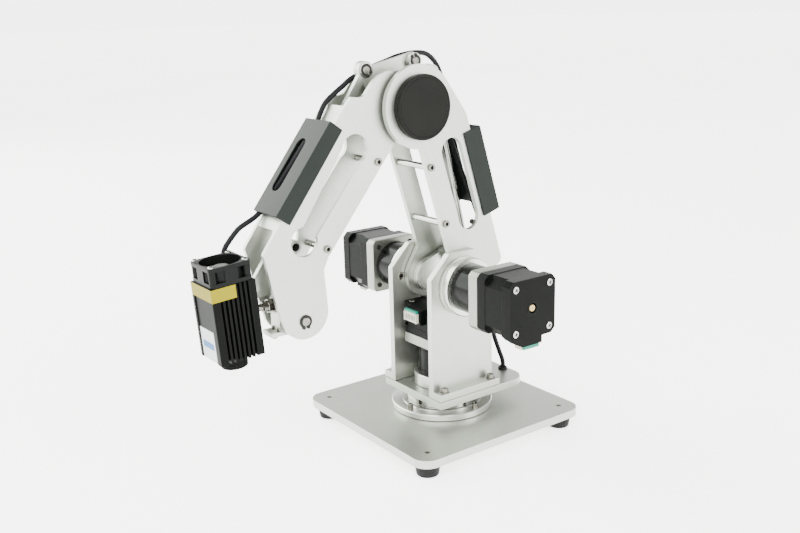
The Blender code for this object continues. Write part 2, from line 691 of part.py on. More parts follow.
def build_linkage(parts, tools):
    """Levelling triangle, its links and pins, the crank and its drive rod."""
    front = shifted(ELBOW, FRONT_PIN)
    rear = shifted(ELBOW, REAR_PIN)
    anchor = shifted(SHOULDER, REAR_PIN)
    tool_pin = shifted(WRIST, FRONT_PIN)
    horn = shifted(ELBOW, HORN_PIN)
    crank_end = shifted(SHOULDER, HORN_PIN)
    outline = arc(ELBOW, 10.5, 193.8, 317.4, 12)
    outline += arc(front, 6.0, -42.6, 160.0, 12)
    outline += arc(rear, 6.0, 88.0, 193.8, 7)
    bores = [circle(ELBOW, ELBOW_SHAFT_R + GAP, 24), circle(front, PIN_BORE, 16), circle(rear, PIN_BORE, 16)]
    triangle = filled_curve("levelling_triangle", parts, [outline] + bores, LEVEL_Y0, LEVEL_Y1, "xz")
    hub = filled_curve(
        "triangle_hub_tool", tools, [circle(ELBOW, 8.5, 24), circle(ELBOW, ELBOW_SHAFT_R + GAP, 24)],
        GAP - FORE_IN, FORE_IN - GAP, "xz",
    )
    combine(triangle, hub, "UNION")
    finish(triangle, SILVER_SATIN)
    finish(clipped_pin("triangle_pin_front", parts, front, LEVEL_Y0 - 0.6), STEEL_LOOK)
    finish(clipped_pin("triangle_pin_rear", parts, rear, LEVEL_Y0 - 0.6), STEEL_LOOK)
    build_link(parts, "upper_levelling_link", front, tool_pin, (6.0, TOOL_EYE_R), 2.8)
    build_link(parts, "lower_levelling_link", rear, anchor, (5.6, 5.6), 3.0)
    steps = [(0.0, SHAFT_R), (9.8, SHAFT_R), (9.8, 12.6), (13.3, 12.6), (13.3, 11.4), (14.9, 11.4)]
    crank = round_bar("crank", parts, (0.0, -BRACKET_OUT, SHOULDER_Z), "+y", steps, 32)
    outline = hull(circle(SHOULDER, 12.2, 32) + circle(crank_end, 5.6, 16))
    arm = filled_curve("crank_arm_tool", tools, [outline], CRANK_Y0, CRANK_Y1, "xz")
    eye = round_bar(
        "crank_eye_tool", tools, (crank_end[0], -20.0, crank_end[1]), "+y",
        [(0.0, PIN_BORE), (12.0, PIN_BORE)], 16,
    )
    combine(crank, arm, "UNION")
    combine(crank, eye, "DIFFERENCE")
    finish(crank, SILVER_BRIGHT)
    head = CRANK_Y0 - GAP
    reach = ROD_Y1 - head
    profile = [(0.0, 5.4), (1.2, 5.4), (1.2, PIN_R), (1.2 + reach, PIN_R)]
    pin = round_bar("crank_pin", parts, (crank_end[0], head - 1.2, crank_end[1]), "+y", profile, 24)
    finish(pin, STEEL_LOOK)
    build_drive_rod(parts, tools, horn, crank_end)


def build_drive_rod(parts, tools, horn, crank_end):
    """Round rod with an eye at each end, joining the crank to the forearm horn."""
    dx, dz = horn[0] - crank_end[0], horn[1] - crank_end[1]
    middle = (crank_end[0] + 0.5 * dx, 0.5 * (ROD_Y0 + ROD_Y1), crank_end[1] + 0.5 * dz)
    rod = bmesh.new()
    bmesh.ops.create_cone(
        rod, cap_ends=True, segments=16, radius1=ROD_R, radius2=ROD_R, depth=math.hypot(dx, dz) - 8.0,
        matrix=Matrix.Translation(middle) @ Matrix.Rotation(math.atan2(dx, dz), 4, "Y"),
    )
    link = from_bmesh("drive_rod", rod, parts)
    for name, place in (("horn", horn), ("crank", crank_end)):
        eye = round_bar(
            f"rod_eye_{name}_tool", tools, (place[0], ROD_Y0, place[1]), "+y",
            [(0.0, 5.5), (ROD_Y1 - ROD_Y0, 5.5)], 24,
        )
        combine(link, eye, "UNION")
        bore = round_bar(
            f"rod_bore_{name}_tool", tools, (place[0], ROD_Y0 - 3.0, place[1]), "+y",
            [(0.0, PIN_BORE), (9.0, PIN_BORE)], 16,
        )
        combine(link, bore, "DIFFERENCE")
    finish(link, STEEL_LOOK)


def laser_frame():
    """Frame of the laser module: origin at its centre, Z along its length."""
    return Matrix.Translation((LASER_X, 0.0, LASER_Z)) @ Matrix.Rotation(LASER_PITCH, 4, "Y")


def build_tool(parts, tools):
    """Tool carrier, laser heat sink, fan, lens barrel and mounting bolt."""
    tool_pin = shifted(WRIST, FRONT_PIN)
    lower_edge = [(FACE_X1 + 2.0, 95.0), (118.0, 95.0)]
    web = hull(circle(WRIST, 9.0, 24) + circle(tool_pin, TOOL_EYE_R, 16) + lower_edge)
    carrier = filled_curve(
        "tool_carrier", parts, [web, circle(WRIST, 3.3, 20)], LEVEL_Y0, LEVEL_Y1, "xz"
    )
    notch = box("carrier_notch_tool", tools, (FACE_X1 - 1.0, -9.0, 80.0), (175.0, 9.0, BOLT_Z + 5.7))
    combine(carrier, notch, "DIFFERENCE")
    face = box("carrier_face_tool", tools, (FACE_X0, -6.2, 95.6), (FACE_X1, 6.2, 121.4))
    shelf = box("carrier_shelf_tool", tools, (112.0, -6.6, SHELF_Z), (148.6, 6.6, SHELF_Z + 3.0))
    hub = filled_curve(
        "carrier_hub_tool", tools, [circle(WRIST, 7.0, 24), circle(WRIST, 3.3, 20)],
        GAP - FORE_IN, FORE_IN - GAP, "xz",
    )
    stud = clipped_pin("carrier_stud_tool", tools, tool_pin, LEVEL_Y1 - 1.2)
    for tool in (face, shelf, hub, stud):
        combine(carrier, tool, "UNION")
    finish(carrier, SILVER_SATIN)
    frame = laser_frame()
    half = 0.5 * LASER_H
    corner = Vector((0.5 * LASER_W, 0.5 * LASER_D, half))
    body = box("laser_heat_sink", parts, -corner, corner)
    placed(body, frame)
    for side in (-1, 1):
        for i in range(7):
            x = 9.4 - 3.2 * i
            low, high = sorted((side * (0.5 * LASER_D - 6.0), side * (0.5 * LASER_D + 2.0)))
            groove = box(
                f"groove_{'left' if side > 0 else 'right'}_{i}_tool", tools,
                (x - 0.8, low, -half - 2.0), (x + 0.8, high, half + 2.0),
            )
            placed(groove, frame)
            combine(body, groove, "DIFFERENCE")
    finish(body, BLACK_SATIN)
    steps = [(0.0, LENS_R), (7.6, LENS_R), (7.6, 5.0), (5.4, 5.0)]
    lens = round_bar("laser_lens_barrel", parts, (0, 0, -half - GAP), "-z", steps, 32)
    placed(lens, frame)
    finish(lens, BLACK_SATIN)
    build_fan(parts, tools, frame, half + GAP)
    bolt = round_bar("laser_bolt", parts, (FACE_X1 + 2.4, 0.0, BOLT_Z), "+x", [(0.0, 4.4), (7.0, 4.4)], 6)
    thread = round_bar(
        "bolt_thread_tool", tools, (FACE_X1 + GAP, 0.0, BOLT_Z), "+x",
        [(0.0, 3.4), (3.0, 3.4), (3.0, 2.4), (18.0, 2.4)], 16,
    )
    combine(bolt, thread, "UNION")
    finish(bolt, STEEL_LOOK)


def build_fan(parts, tools, frame, base):
    """Square fan frame with a three-legged spider, and its rotor."""
    half = 0.5 * FAN_SIDE
    loops = [rounded_rectangle(-half, half, -half, half, [3.0] * 4, 3), circle((0, 0), 13.6, 32)]
    shell = filled_curve("laser_fan_frame", parts, loops, base, base + FAN_H, "xy")
    placed(shell, frame)
    for i in range(3):
        leg = box(f"spider_{i}_tool", tools, (0.4, -1.2, base + 0.3), (14.2, 1.2, base + 1.1))
        leg.data.transform(Matrix.Rotation(math.radians(30.0 + 120.0 * i), 4, "Z"))
        placed(leg, frame)
        combine(shell, leg, "UNION")
    seat = round_bar("spider_seat_tool", tools, (0, 0, base + 0.1), "+z", [(0.0, 6.0), (1.2, 6.0)], 24)
    placed(seat, frame)
    combine(shell, seat, "UNION")
    finish(shell, BLACK_SATIN)
    rotor = round_bar("laser_fan_rotor", parts, (0, 0, base + 1.3 + GAP), "+z", [(0.0, 6.6), (7.4, 6.6)], 24)
    placed(rotor, frame)
    for i in range(7):
        blade = box(f"blade_{i}_tool", tools, (5.0, -0.5, -3.0), (13.0, 0.5, 3.0))
        blade.data.transform(Matrix.Rotation(math.radians(48.0), 4, "X"))
        blade.data.transform(Matrix.Rotation(math.radians(360.0 / 7.0 * i), 4, "Z"))
        blade.data.transform(Matrix.Translation((0.0, 0.0, (base + 5.2) * MM)))
        placed(blade, frame)
        combine(rotor, blade, "UNION")
    finish(rotor, BLACK_SATIN)


def smooth_path(points, per_span):
    """Catmull-Rom samples through the given points."""
    ends = [points[0] * 2.0 - points[1]] + points + [points[-1] * 2.0 - points[-2]]
    samples = []
    for i in range(1, len(ends) - 2):
        a, b, c, d = ends[i - 1], ends[i], ends[i + 1], ends[i + 2]
        for step in range(per_span):
            t = step / per_span
            samples.append(
                0.5 * (2.0 * b + (c - a) * t + (2.0 * a - 5.0 * b + 4.0 * c - d) * t * t
                       + (3.0 * b - a - 3.0 * c + d) * t * t * t)
            )
    samples.append(points[-1])
    return samples


def lead(parts, name, points, per_span=5):
    """Round flexible lead through the given points."""
    curve = bpy.data.curves.new(name + "_path", "CURVE")
    curve.dimensions = "3D"
    curve.bevel_depth = LEAD_R * MM
    curve.bevel_resolution = 2
    curve.use_fill_caps = True
    samples = smooth_path([Vector(p) for p in points], per_span)
    spline = curve.splines.new("POLY")
    spline.points.add(len(samples) - 1)
    for point, sample in zip(spline.points, samples):
        point.co = (sample.x * MM, sample.y * MM, sample.z * MM, 1.0)
    holder = bpy.data.objects.new(name + "_holder", curve)
    parts.objects.link(holder)
    graph = bpy.context.evaluated_depsgraph_get()
    mesh = bpy.data.meshes.new_from_object(holder.evaluated_get(graph))
    bpy.data.objects.remove(holder, do_unlink=True)
    shape = bmesh.new()
    shape.from_mesh(mesh)
    bmesh.ops.remove_doubles(shape, verts=shape.verts, dist=0.00001)
    bmesh.ops.recalc_face_normals(shape, faces=shape.faces)
    shape.to_mesh(mesh)
    shape.free()
    mesh.name = name
    obj = bpy.data.objects.new(name, mesh)
    parts.objects.link(obj)
    finish(obj, RUBBER_LOOK)
    return obj


def build_leads(parts):
    """Laser lead in four sections: tool loop, forearm with elbow loop, lower arm and rear drop."""
    def fore(p, q, y):
        x, z = fore_point(p, q)
        return (x, y, z)

    def arm(f, a, y):
        x, z = arm_point(f, a)
        return (x, y, z)

    lead(parts, "lead_tool_loop", [
        (169.4, -17.4, 135.0), (169.2, -17.4, 146.0), (167.4, -17.3, 154.0), (164.6, -16.5, 158.6),
        (161.4, -15.2, 163.0), (157.6, -14.0, 167.2), fore(130.2, 50.2, -13.2), fore(125.0, 47.7, -13.0),
        fore(120.6, 46.3, -12.7), fore(116.0, 46.1, -12.4),
    ])
    lead(parts, "lead_forearm", [
        fore(115.6, 46.1, -12.4), fore(92.0, 46.8, -8.6), fore(68.0, 47.6, -6.0),
        fore(48.6, 48.3, -5.0), fore(41.0, 48.9, -6.4), fore(33.0, 49.0, -7.6), fore(25.0, 46.8, -8.4),
        (75.4, -9.0, 254.4), (68.0, -9.1, 259.2), (58.5, -9.1, 263.2), (48.0, -9.1, 267.0),
        (38.0, -9.1, 269.8), (28.0, -9.6, 272.4), (14.0, -11.6, 274.4), (0.0, -13.4, 272.6),
        (-11.0, -13.4, 263.8), (-16.6, -13.4, 249.0), (-17.8, -13.2, 234.0),
        arm(-49.6, 104.0, -12.0), arm(-49.6, 96.0, -12.0),
    ])
    lead(parts, "lead_lower_arm", [arm(-49.6, 95.6, -12.0), arm(-49.6, 70.0, -8.0), arm(-49.6, 46.0, -4.0)])
    lead(parts, "lead_rear_drop", [
        arm(-49.6, 45.6, -4.0), arm(-49.6, 36.0, -2.0), (-43.0, 2.0, 132.0), (-41.6, 6.0, 104.0),
        (-41.0, 9.6, 76.0), (-43.4, 12.0, 56.0), (-49.0, 12.0, 41.0), (GLAND_X, GLAND_Y, 30.0),
        (GLAND_X, GLAND_Y, 19.0),
    ])


def add_axes(parts):
    """Parent each moving group to an empty standing on its joint axis."""
    front = shifted(ELBOW, FRONT_PIN)
    anchor = shifted(SHOULDER, REAR_PIN)
    crank_end = shifted(SHOULDER, HORN_PIN)
    frame = laser_frame()
    fan = frame @ Vector((0.0, 0.0, 0.5 * LASER_H + GAP + 5.0))
    turret = [
        "turret_plate", "bracket_left", "bracket_right", "levelling_anchor", "lead_gland", "lead_rear_drop",
    ]
    for prefix in ("yaw", "shoulder", "elbow"):
        turret += [prefix + "_mounting_ring", prefix + "_gearbox", prefix + "_adapter", prefix + "_motor"]
    groups = (
        ("axis_yaw", (0.0, 0.0, DECK_Z0), turret),
        ("axis_shoulder", (0.0, 0.0, SHOULDER_Z), [
            "lower_arm_plate_left", "lower_arm_plate_right", "lower_arm_spacer_1", "lower_arm_spacer_2",
            "elbow_shaft", "elbow_cap_left", "elbow_cap_right", "shoulder_hub", "lower_arm_cover",
            "lead_lower_arm",
        ]),
        ("axis_triangle", (ELBOW[0], 0.0, ELBOW[1]), [
            "levelling_triangle", "triangle_pin_front", "triangle_pin_rear",
        ]),
        ("axis_elbow", (ELBOW[0], 0.0, ELBOW[1]), [
            "forearm_plate_left", "forearm_plate_right", "elbow_bearing_left", "elbow_bearing_right",
            "forearm_spacer_1", "forearm_spacer_2", "forearm_spine", "forearm_cover", "wrist_pin",
            "lead_forearm", "lead_tool_loop",
        ]),
        ("axis_upper_link", (front[0], 0.0, front[1]), ["upper_levelling_link"]),
        ("axis_lower_link", (anchor[0], 0.0, anchor[1]), ["lower_levelling_link"]),
        ("axis_crank", (0.0, 0.0, SHOULDER_Z), ["crank"]),
        ("axis_crank_pin", (crank_end[0], 0.0, crank_end[1]), ["crank_pin"]),
        ("axis_drive_rod", (crank_end[0], 0.0, crank_end[1]), ["drive_rod"]),
        ("axis_wrist", (WRIST[0], 0.0, WRIST[1]), [
            "tool_carrier", "laser_bolt", "laser_heat_sink", "laser_lens_barrel", "laser_fan_frame",
        ]),
        ("axis_fan", tuple(fan), ["laser_fan_rotor"]),
    )
    for name, place, members in groups:
        empty = bpy.data.objects.new(name, None)
        empty.location = Vector(place) * MM
        empty.empty_display_size = 0.01
        parts.objects.link(empty)
        bpy.context.view_layer.update()
        for member in members:
            obj = bpy.data.objects[member]
            obj.parent = empty
            obj.matrix_parent_inverse = empty.matrix_world.inverted()


def main():
    """Build the whole arm."""
    clear_scene()
    parts, tools = make_collections()
    build_base(parts, tools)
    build_turret(parts, tools)
    build_drives(parts, tools)
    build_lower_arm(parts, tools)
    build_forearm(parts, tools)
    build_linkage(parts, tools)
    build_tool(parts, tools)
    build_leads(parts)
    add_axes(parts)
    bpy.context.view_layer.update()


main()
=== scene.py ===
# Look of a desktop parallelogram robot arm with a fan-cooled laser module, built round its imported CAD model.
# Lengths are millimetres in the local frames below, unless a comment says metres. Meshes are in metres.

import json
import math

import bmesh
import bpy
from mathutils import Matrix, Vector

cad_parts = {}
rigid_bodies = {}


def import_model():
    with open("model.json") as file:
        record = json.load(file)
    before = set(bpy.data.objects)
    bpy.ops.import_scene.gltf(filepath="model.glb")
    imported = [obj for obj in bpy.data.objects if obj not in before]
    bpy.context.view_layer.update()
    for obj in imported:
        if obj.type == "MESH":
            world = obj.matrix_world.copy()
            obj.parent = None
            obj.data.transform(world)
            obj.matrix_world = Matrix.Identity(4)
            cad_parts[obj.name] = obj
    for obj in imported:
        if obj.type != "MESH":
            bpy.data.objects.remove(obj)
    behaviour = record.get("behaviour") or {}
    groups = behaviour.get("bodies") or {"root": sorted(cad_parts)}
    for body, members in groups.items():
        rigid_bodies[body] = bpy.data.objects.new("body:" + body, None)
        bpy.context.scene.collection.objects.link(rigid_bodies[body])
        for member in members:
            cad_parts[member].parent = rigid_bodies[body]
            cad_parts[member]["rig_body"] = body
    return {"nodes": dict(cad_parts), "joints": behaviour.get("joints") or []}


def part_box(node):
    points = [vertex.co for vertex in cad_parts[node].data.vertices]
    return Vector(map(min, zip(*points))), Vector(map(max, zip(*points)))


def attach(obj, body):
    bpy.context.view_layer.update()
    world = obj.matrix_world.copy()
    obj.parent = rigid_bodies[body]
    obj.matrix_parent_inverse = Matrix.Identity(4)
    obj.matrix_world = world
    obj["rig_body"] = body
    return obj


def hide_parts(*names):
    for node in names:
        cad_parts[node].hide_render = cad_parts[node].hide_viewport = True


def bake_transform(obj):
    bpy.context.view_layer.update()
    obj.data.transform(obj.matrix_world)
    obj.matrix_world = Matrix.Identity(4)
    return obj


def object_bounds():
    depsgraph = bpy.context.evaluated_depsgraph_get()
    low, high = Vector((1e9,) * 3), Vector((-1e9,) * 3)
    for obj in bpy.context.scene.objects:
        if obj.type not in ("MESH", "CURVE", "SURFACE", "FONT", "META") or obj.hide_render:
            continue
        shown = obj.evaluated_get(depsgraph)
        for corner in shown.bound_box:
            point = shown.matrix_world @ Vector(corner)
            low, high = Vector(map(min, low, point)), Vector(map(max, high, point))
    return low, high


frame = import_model()
CAD_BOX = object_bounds()

MM = 0.001
TURN = 2.0 * math.pi
QUARTER = math.radians(90.0)
SIDES = (-1, 1)
FORWARD, ACROSS, UP = (1.0, 0.0, 0.0), (0.0, 1.0, 0.0), (0.0, 0.0, 1.0)

JOINTS = {joint["name"]: joint for joint in frame["joints"]}
SHOULDER = Vector(JOINTS["shoulder"]["pos_m"]) / MM
ELBOW = Vector(JOINTS["elbow"]["pos_m"]) / MM
WRIST = Vector(JOINTS["wrist"]["pos_m"]) / MM

# angles at rest
ARM_LEAN = math.radians(16.7)
FORE_DROP = math.radians(50.8)
LASER_PITCH = math.radians(4.0)

# local frames: arm (X forward, Z along), forearm (X along, Z up), laser (Z along its body) and
# motors (Z to the rear)
LASER_CENTRE = (176.6, 0.0, 113.2)
SIDE_MOTOR_SEAT, YAW_MOTOR_SEAT = 26.8, 24.0
WORLD = Matrix.Identity(4)
ARM = Matrix.Translation(SHOULDER) @ Matrix.Rotation(ARM_LEAN, 4, "Y")
FORE = Matrix.Translation(ELBOW) @ Matrix.Rotation(FORE_DROP, 4, "Y")
LASER = Matrix.Translation(LASER_CENTRE) @ Matrix.Rotation(LASER_PITCH, 4, "Y")
LEFT_MOTOR = (
    Matrix.Translation((0.0, SIDE_MOTOR_SEAT, SHOULDER.z))
    @ Matrix.Rotation(-QUARTER, 4, "X")
    @ Matrix.Rotation(math.pi, 4, "Z")
)
RIGHT_MOTOR = Matrix.Translation((0.0, -SIDE_MOTOR_SEAT, SHOULDER.z)) @ Matrix.Rotation(QUARTER, 4, "X")
YAW_MOTOR = Matrix.Translation((0.0, 0.0, YAW_MOTOR_SEAT)) @ Matrix.Rotation(QUARTER, 4, "Z")

# lengths of mounting ring, gearbox, adapter and motor, with a joint gap after each of the first three
SIDE_MOTOR_LENGTHS = (8.2, 22.6, 9.2, 33.2)
YAW_MOTOR_LENGTHS = (9.2, 22.4, 8.0, 23.3)
SIDE_RING_RADIUS, YAW_RING_RADIUS = 22.0, 21.0
JOINT_GAP = 0.3
MOTOR_SCREW_REACH = 15.5

# viewpoint fitted to the photograph: place, then azimuth, elevation and roll in degrees
CAMERA_PLACE = (434.52, 550.77, 306.20)
CAMERA_ANGLES = (54.18, 15.14, -1.54)
FOCAL_PIXELS, PHOTO_WIDTH, SENSOR_WIDTH = 960.22, 800.0, 36.0

# studio, in metres and watts; a light is its name, place, size, power and colour
FLOOR_SIZE, FLOOR_GAP, FLOOR_GLOW, WORLD_LIGHT = 40.0, 0.0001, 2.6, 5.0
FLOOR_TONES = [(0.93, 0.935, 0.93), (0.95, 0.955, 0.95)]
NEAR_WHITE = (1.0, 1.0, 0.99, 1.0)
SURROUND = ((0.02, NEAR_WHITE), (0.55, (0.22, 0.22, 0.215, 1.0)))
LIGHT_TARGET = Vector((0.03, 0.0, 0.10))
LIGHTS = (
    ("key_light", (1.3, 0.9, 1.5), 2.4, 120.0, (1.0, 1.0, 1.0)),
    ("side_light", (-0.9, 1.6, 0.9), 1.0, 36.0, (1.0, 1.0, 1.0)),
    ("rim_light", (0.75, -1.45, 1.05), 1.6, 75.0, (0.95, 1.0, 0.93)),
)

# shading: noise scales are per metre, and the edge width and relief are metres
EVEN_GRAIN = (900.0, 900.0, 900.0)
RING_GRAIN = (4200.0, 900.0, 1.0)
SPECK_SCALE, SPECK_SHARE = 2600.0, 0.35
TONE_ENDS, ROUGH_ENDS = (0.36, 0.64), (0.3, 0.7)
EDGE_WIDTH, EDGE_MATCH, EDGE_STRENGTH = 0.0006, (0.99, 0.86), 0.8
RELIEF_DEPTH = 0.0002
COAT_ROUGHNESS = 0.12

# meshes: angles in degrees, and facets round a turned shape
SHARP_ANGLE, BEVEL_ANGLE, FLAT_ANGLE = 32.0, 30.0, 0.6
WELD = 0.02
PAN_STEPS, SCREW_STEPS, BUSH_STEPS, PIN_STEPS, LENS_STEPS = 20, 24, 28, 32, 40
HUB_STEPS, BARREL_STEPS, RING_STEPS, CAP_STEPS = 48, 64, 96, 128


# ---------------------------------------------------------------- camera, stage and lights

def make_camera():
    """Camera at the fitted viewpoint, with the photograph's slight roll."""
    azimuth, elevation, roll = (math.radians(angle) for angle in CAMERA_ANGLES)
    forward = -Vector((
        math.cos(azimuth) * math.cos(elevation), math.sin(azimuth) * math.cos(elevation), math.sin(elevation),
    ))
    side = forward.cross(Vector(UP)).normalized()
    top = side.cross(forward)
    right = side * math.cos(roll) + top * math.sin(roll)
    up = top * math.cos(roll) - side * math.sin(roll)
    lens = bpy.data.cameras.new("view")
    lens.sensor_width = SENSOR_WIDTH
    lens.lens = SENSOR_WIDTH * FOCAL_PIXELS / PHOTO_WIDTH
    camera = bpy.data.objects.new("view", lens)
    bpy.context.scene.collection.objects.link(camera)
    pose = Matrix((right, up, -forward)).transposed().to_4x4()
    pose.translation = Vector(CAMERA_PLACE) * MM
    camera.matrix_world = pose
    bpy.context.scene.camera = camera


def area_light(name, place, size, power, colour):
    """Square soft light aimed at the middle of the arm."""
    data = bpy.data.lights.new(name, "AREA")
    data.size = size
    data.energy = power
    data.color = colour
    light = bpy.data.objects.new(name, data)
    bpy.context.scene.collection.objects.link(light)
    light.location = place
    light.rotation_euler = (LIGHT_TARGET - Vector(place)).to_track_quat("-Z", "Y").to_euler()


def make_stage():
    """Pale glowing floor, a surround that darkens upwards and three soft lights."""
    bpy.ops.mesh.primitive_plane_add(size=FLOOR_SIZE, location=(0.0, 0.0, CAD_BOX[0].z - FLOOR_GAP))
    floor = bpy.context.object
    floor.name = "studio_floor"
    paint = look("floor_white", FLOOR_TONES, 0.0, (0.22, 0.30), cloud=2.0, bump=0.0)
    shader = paint.node_tree.nodes["Principled BSDF"]
    shader.inputs["Emission Color"].default_value = NEAR_WHITE
    shader.inputs["Emission Strength"].default_value = FLOOR_GLOW
    floor.data.materials.append(paint)
    world = bpy.data.worlds.new("studio")
    bpy.context.scene.world = world
    world.use_nodes = True
    tree = world.node_tree
    background = tree.nodes["Background"]
    split = add_node(tree, "SeparateXYZ", {0: add_node(tree, "TexCoord").outputs["Generated"]})
    ramp = colour_ramp(tree, split.outputs["Z"], SURROUND)
    tree.links.new(ramp.outputs[0], background.inputs[0])
    background.inputs[1].default_value = WORLD_LIGHT
    for light in LIGHTS:
        area_light(*light)


# ---------------------------------------------------------------- procedural finishes

def add_node(tree, kind, sockets=None, **settings):
    """Make a shader node; a socket value may be a number, a colour or another node's output."""
    made = tree.nodes.new("ShaderNode" + kind)
    for key, value in settings.items():
        setattr(made, key, value)
    for key, value in (sockets or {}).items():
        if isinstance(value, bpy.types.NodeSocket):
            tree.links.new(value, made.inputs[key])
        else:
            made.inputs[key].default_value = value
    return made


def colour_ramp(tree, source, stops):
    """Two-stop colour ramp over a value; stops are (position, colour)."""
    ramp = add_node(tree, "ValToRGB", {0: source})
    for element, (position, colour) in zip(ramp.color_ramp.elements, stops):
        element.position = position
        element.color = colour
    return ramp


def look(name, tones, metallic, rough, grain=EVEN_GRAIN, turn=0.0, cloud=22.0, bump=0.12, edge=None,
         coat=0.0, radial=None, gloss=0.5):
    """Procedural finish: cloudy tone between two colours, stretched grain, roughness and bump from both.

    grain scales the fine noise on each axis after a turn about Y, and cloud scales the wide noise. edge is
    the colour painted on rounded edges, part painted highlight and part wear. radial is an axis letter and
    centre (mm) for turned faces. gloss is the specular level, kept low on the blacks.
    """
    finish = bpy.data.materials.new(name)
    finish.use_nodes = True
    tree = finish.node_tree
    shader = tree.nodes["Principled BSDF"]
    coords = add_node(tree, "TexCoord").outputs["Object"]
    if radial:
        axis, centre = radial
        offset = add_node(tree, "VectorMath", {0: coords, 1: Vector(centre) * MM}, operation="SUBTRACT")
        parts = add_node(tree, "SeparateXYZ", {0: offset.outputs[0]})
        pair = [parts.outputs[letter] for letter in "XYZ" if letter != axis]
        flat = add_node(tree, "CombineXYZ", {0: pair[0], 1: pair[1]})
        ring = add_node(tree, "VectorMath", {0: flat.outputs[0]}, operation="LENGTH").outputs["Value"]
        spread = add_node(tree, "CombineXYZ", {0: ring, 1: parts.outputs[axis]})
        grain_space = add_node(tree, "Mapping", {"Vector": spread.outputs[0], "Scale": RING_GRAIN})
    else:
        leaned = add_node(tree, "Mapping", {"Vector": coords, "Rotation": (0.0, turn, 0.0)})
        grain_space = add_node(tree, "Mapping", {"Vector": leaned.outputs[0], "Scale": grain})
    fine = add_node(
        tree, "TexNoise", {"Vector": grain_space.outputs[0], "Scale": 1.0, "Detail": 4.0, "Roughness": 0.6},
    )
    wide = add_node(tree, "TexNoise", {"Vector": coords, "Scale": cloud, "Detail": 3.0, "Roughness": 0.55})
    speck = add_node(tree, "TexNoise", {"Vector": coords, "Scale": SPECK_SCALE, "Detail": 2.0})
    half = add_node(tree, "Math", {0: fine.outputs[0], 1: 0.5}, operation="MULTIPLY")
    mottle = add_node(
        tree, "Math", {0: wide.outputs[0], 1: 0.5, 2: half.outputs[0]}, operation="MULTIPLY_ADD",
    )
    stops = [(position, (*tone, 1.0)) for position, tone in zip(TONE_ENDS, tones)]
    colour = colour_ramp(tree, mottle.outputs[0], stops).outputs[0]
    # painted highlight on rounded edges, where the bevelled normal leaves the face normal, broken up by the
    # wide noise as wear
    if edge:
        soft = add_node(tree, "Bevel", {"Radius": EDGE_WIDTH}, samples=4)
        normal = add_node(tree, "NewGeometry").outputs["Normal"]
        match = add_node(tree, "VectorMath", {0: soft.outputs[0], 1: normal}, operation="DOT_PRODUCT")
        edge_highlight_and_wear = add_node(
            tree, "MapRange",
            {0: match.outputs["Value"], 1: EDGE_MATCH[0], 2: EDGE_MATCH[1], 3: 0.0, 4: EDGE_STRENGTH},
        )
        broken = add_node(tree, "Math", {0: edge_highlight_and_wear.outputs[0], 1: wide.outputs[0]}, operation="MULTIPLY")
        mixed = add_node(tree, "Mix", {0: broken.outputs[0], 6: colour, 7: (*edge, 1.0)}, data_type="RGBA")
        colour = mixed.outputs[2]
    tree.links.new(colour, shader.inputs["Base Color"])
    rough_map = add_node(
        tree, "MapRange",
        {0: mottle.outputs[0], 1: ROUGH_ENDS[0], 2: ROUGH_ENDS[1], 3: rough[0], 4: rough[1]},
    )
    tree.links.new(rough_map.outputs[0], shader.inputs["Roughness"])
    relief = add_node(
        tree, "Math", {0: speck.outputs[0], 1: SPECK_SHARE, 2: fine.outputs[0]}, operation="MULTIPLY_ADD",
    )
    lift = add_node(tree, "Bump", {"Strength": bump, "Distance": RELIEF_DEPTH, "Height": relief.outputs[0]})
    tree.links.new(lift.outputs[0], shader.inputs["Normal"])
    shader.inputs["Metallic"].default_value = metallic
    shader.inputs["Specular IOR Level"].default_value = gloss
    shader.inputs["Coat Weight"].default_value = coat
    shader.inputs["Coat Roughness"].default_value = COAT_ROUGHNESS
    return finish


SILVER = [(0.37, 0.385, 0.345), (0.43, 0.445, 0.405)]
CAST = [(0.20, 0.205, 0.185), (0.26, 0.265, 0.24)]
BRIGHT = [(0.46, 0.47, 0.43), (0.58, 0.59, 0.55)]
STEEL = [(0.12, 0.115, 0.10), (0.20, 0.195, 0.17)]
POLISHED = [(0.30, 0.30, 0.28), (0.42, 0.42, 0.40)]
BRASS = [(0.30, 0.22, 0.10), (0.40, 0.31, 0.16)]
DARK = [(0.0014, 0.0017, 0.0014), (0.0028, 0.0032, 0.0028)]
SOFT_DARK = [(0.0045, 0.0064, 0.0052), (0.0068, 0.0092, 0.0076)]
CAP_DARK = [(0.0028, 0.0028, 0.0023), (0.0055, 0.0055, 0.0046)]
CLIP_DARK = [(0.008, 0.008, 0.007), (0.016, 0.016, 0.014)]
RUBBER = [(0.004, 0.004, 0.004), (0.008, 0.008, 0.008)]
SLEEVE = [(0.004, 0.004, 0.005), (0.008, 0.008, 0.009)]
MOULDING = [(0.0016, 0.0020, 0.0018), (0.0034, 0.0040, 0.0036)]
# painted shade: near black, put in sockets, slots and round screw heads where shade falls
RECESS_PAINTED_SHADE = [(0.0015, 0.0015, 0.0015), (0.003, 0.003, 0.003)]
YELLOW = [(0.165, 0.138, 0.0), (0.19, 0.16, 0.0)]
WHITE = [(0.38, 0.40, 0.41), (0.43, 0.45, 0.46)]
BLUE = [(0.018, 0.085, 0.22), (0.026, 0.11, 0.26)]
IVORY = [(0.36, 0.35, 0.27), (0.42, 0.41, 0.33)]
TEAL = [(0.003, 0.12, 0.08), (0.006, 0.16, 0.11)]
GLASS = [(0.01, 0.015, 0.03), (0.015, 0.025, 0.05)]
BRUSHED = (0.34, 0.46)
ALONG, FINE = 60.0, 1600.0

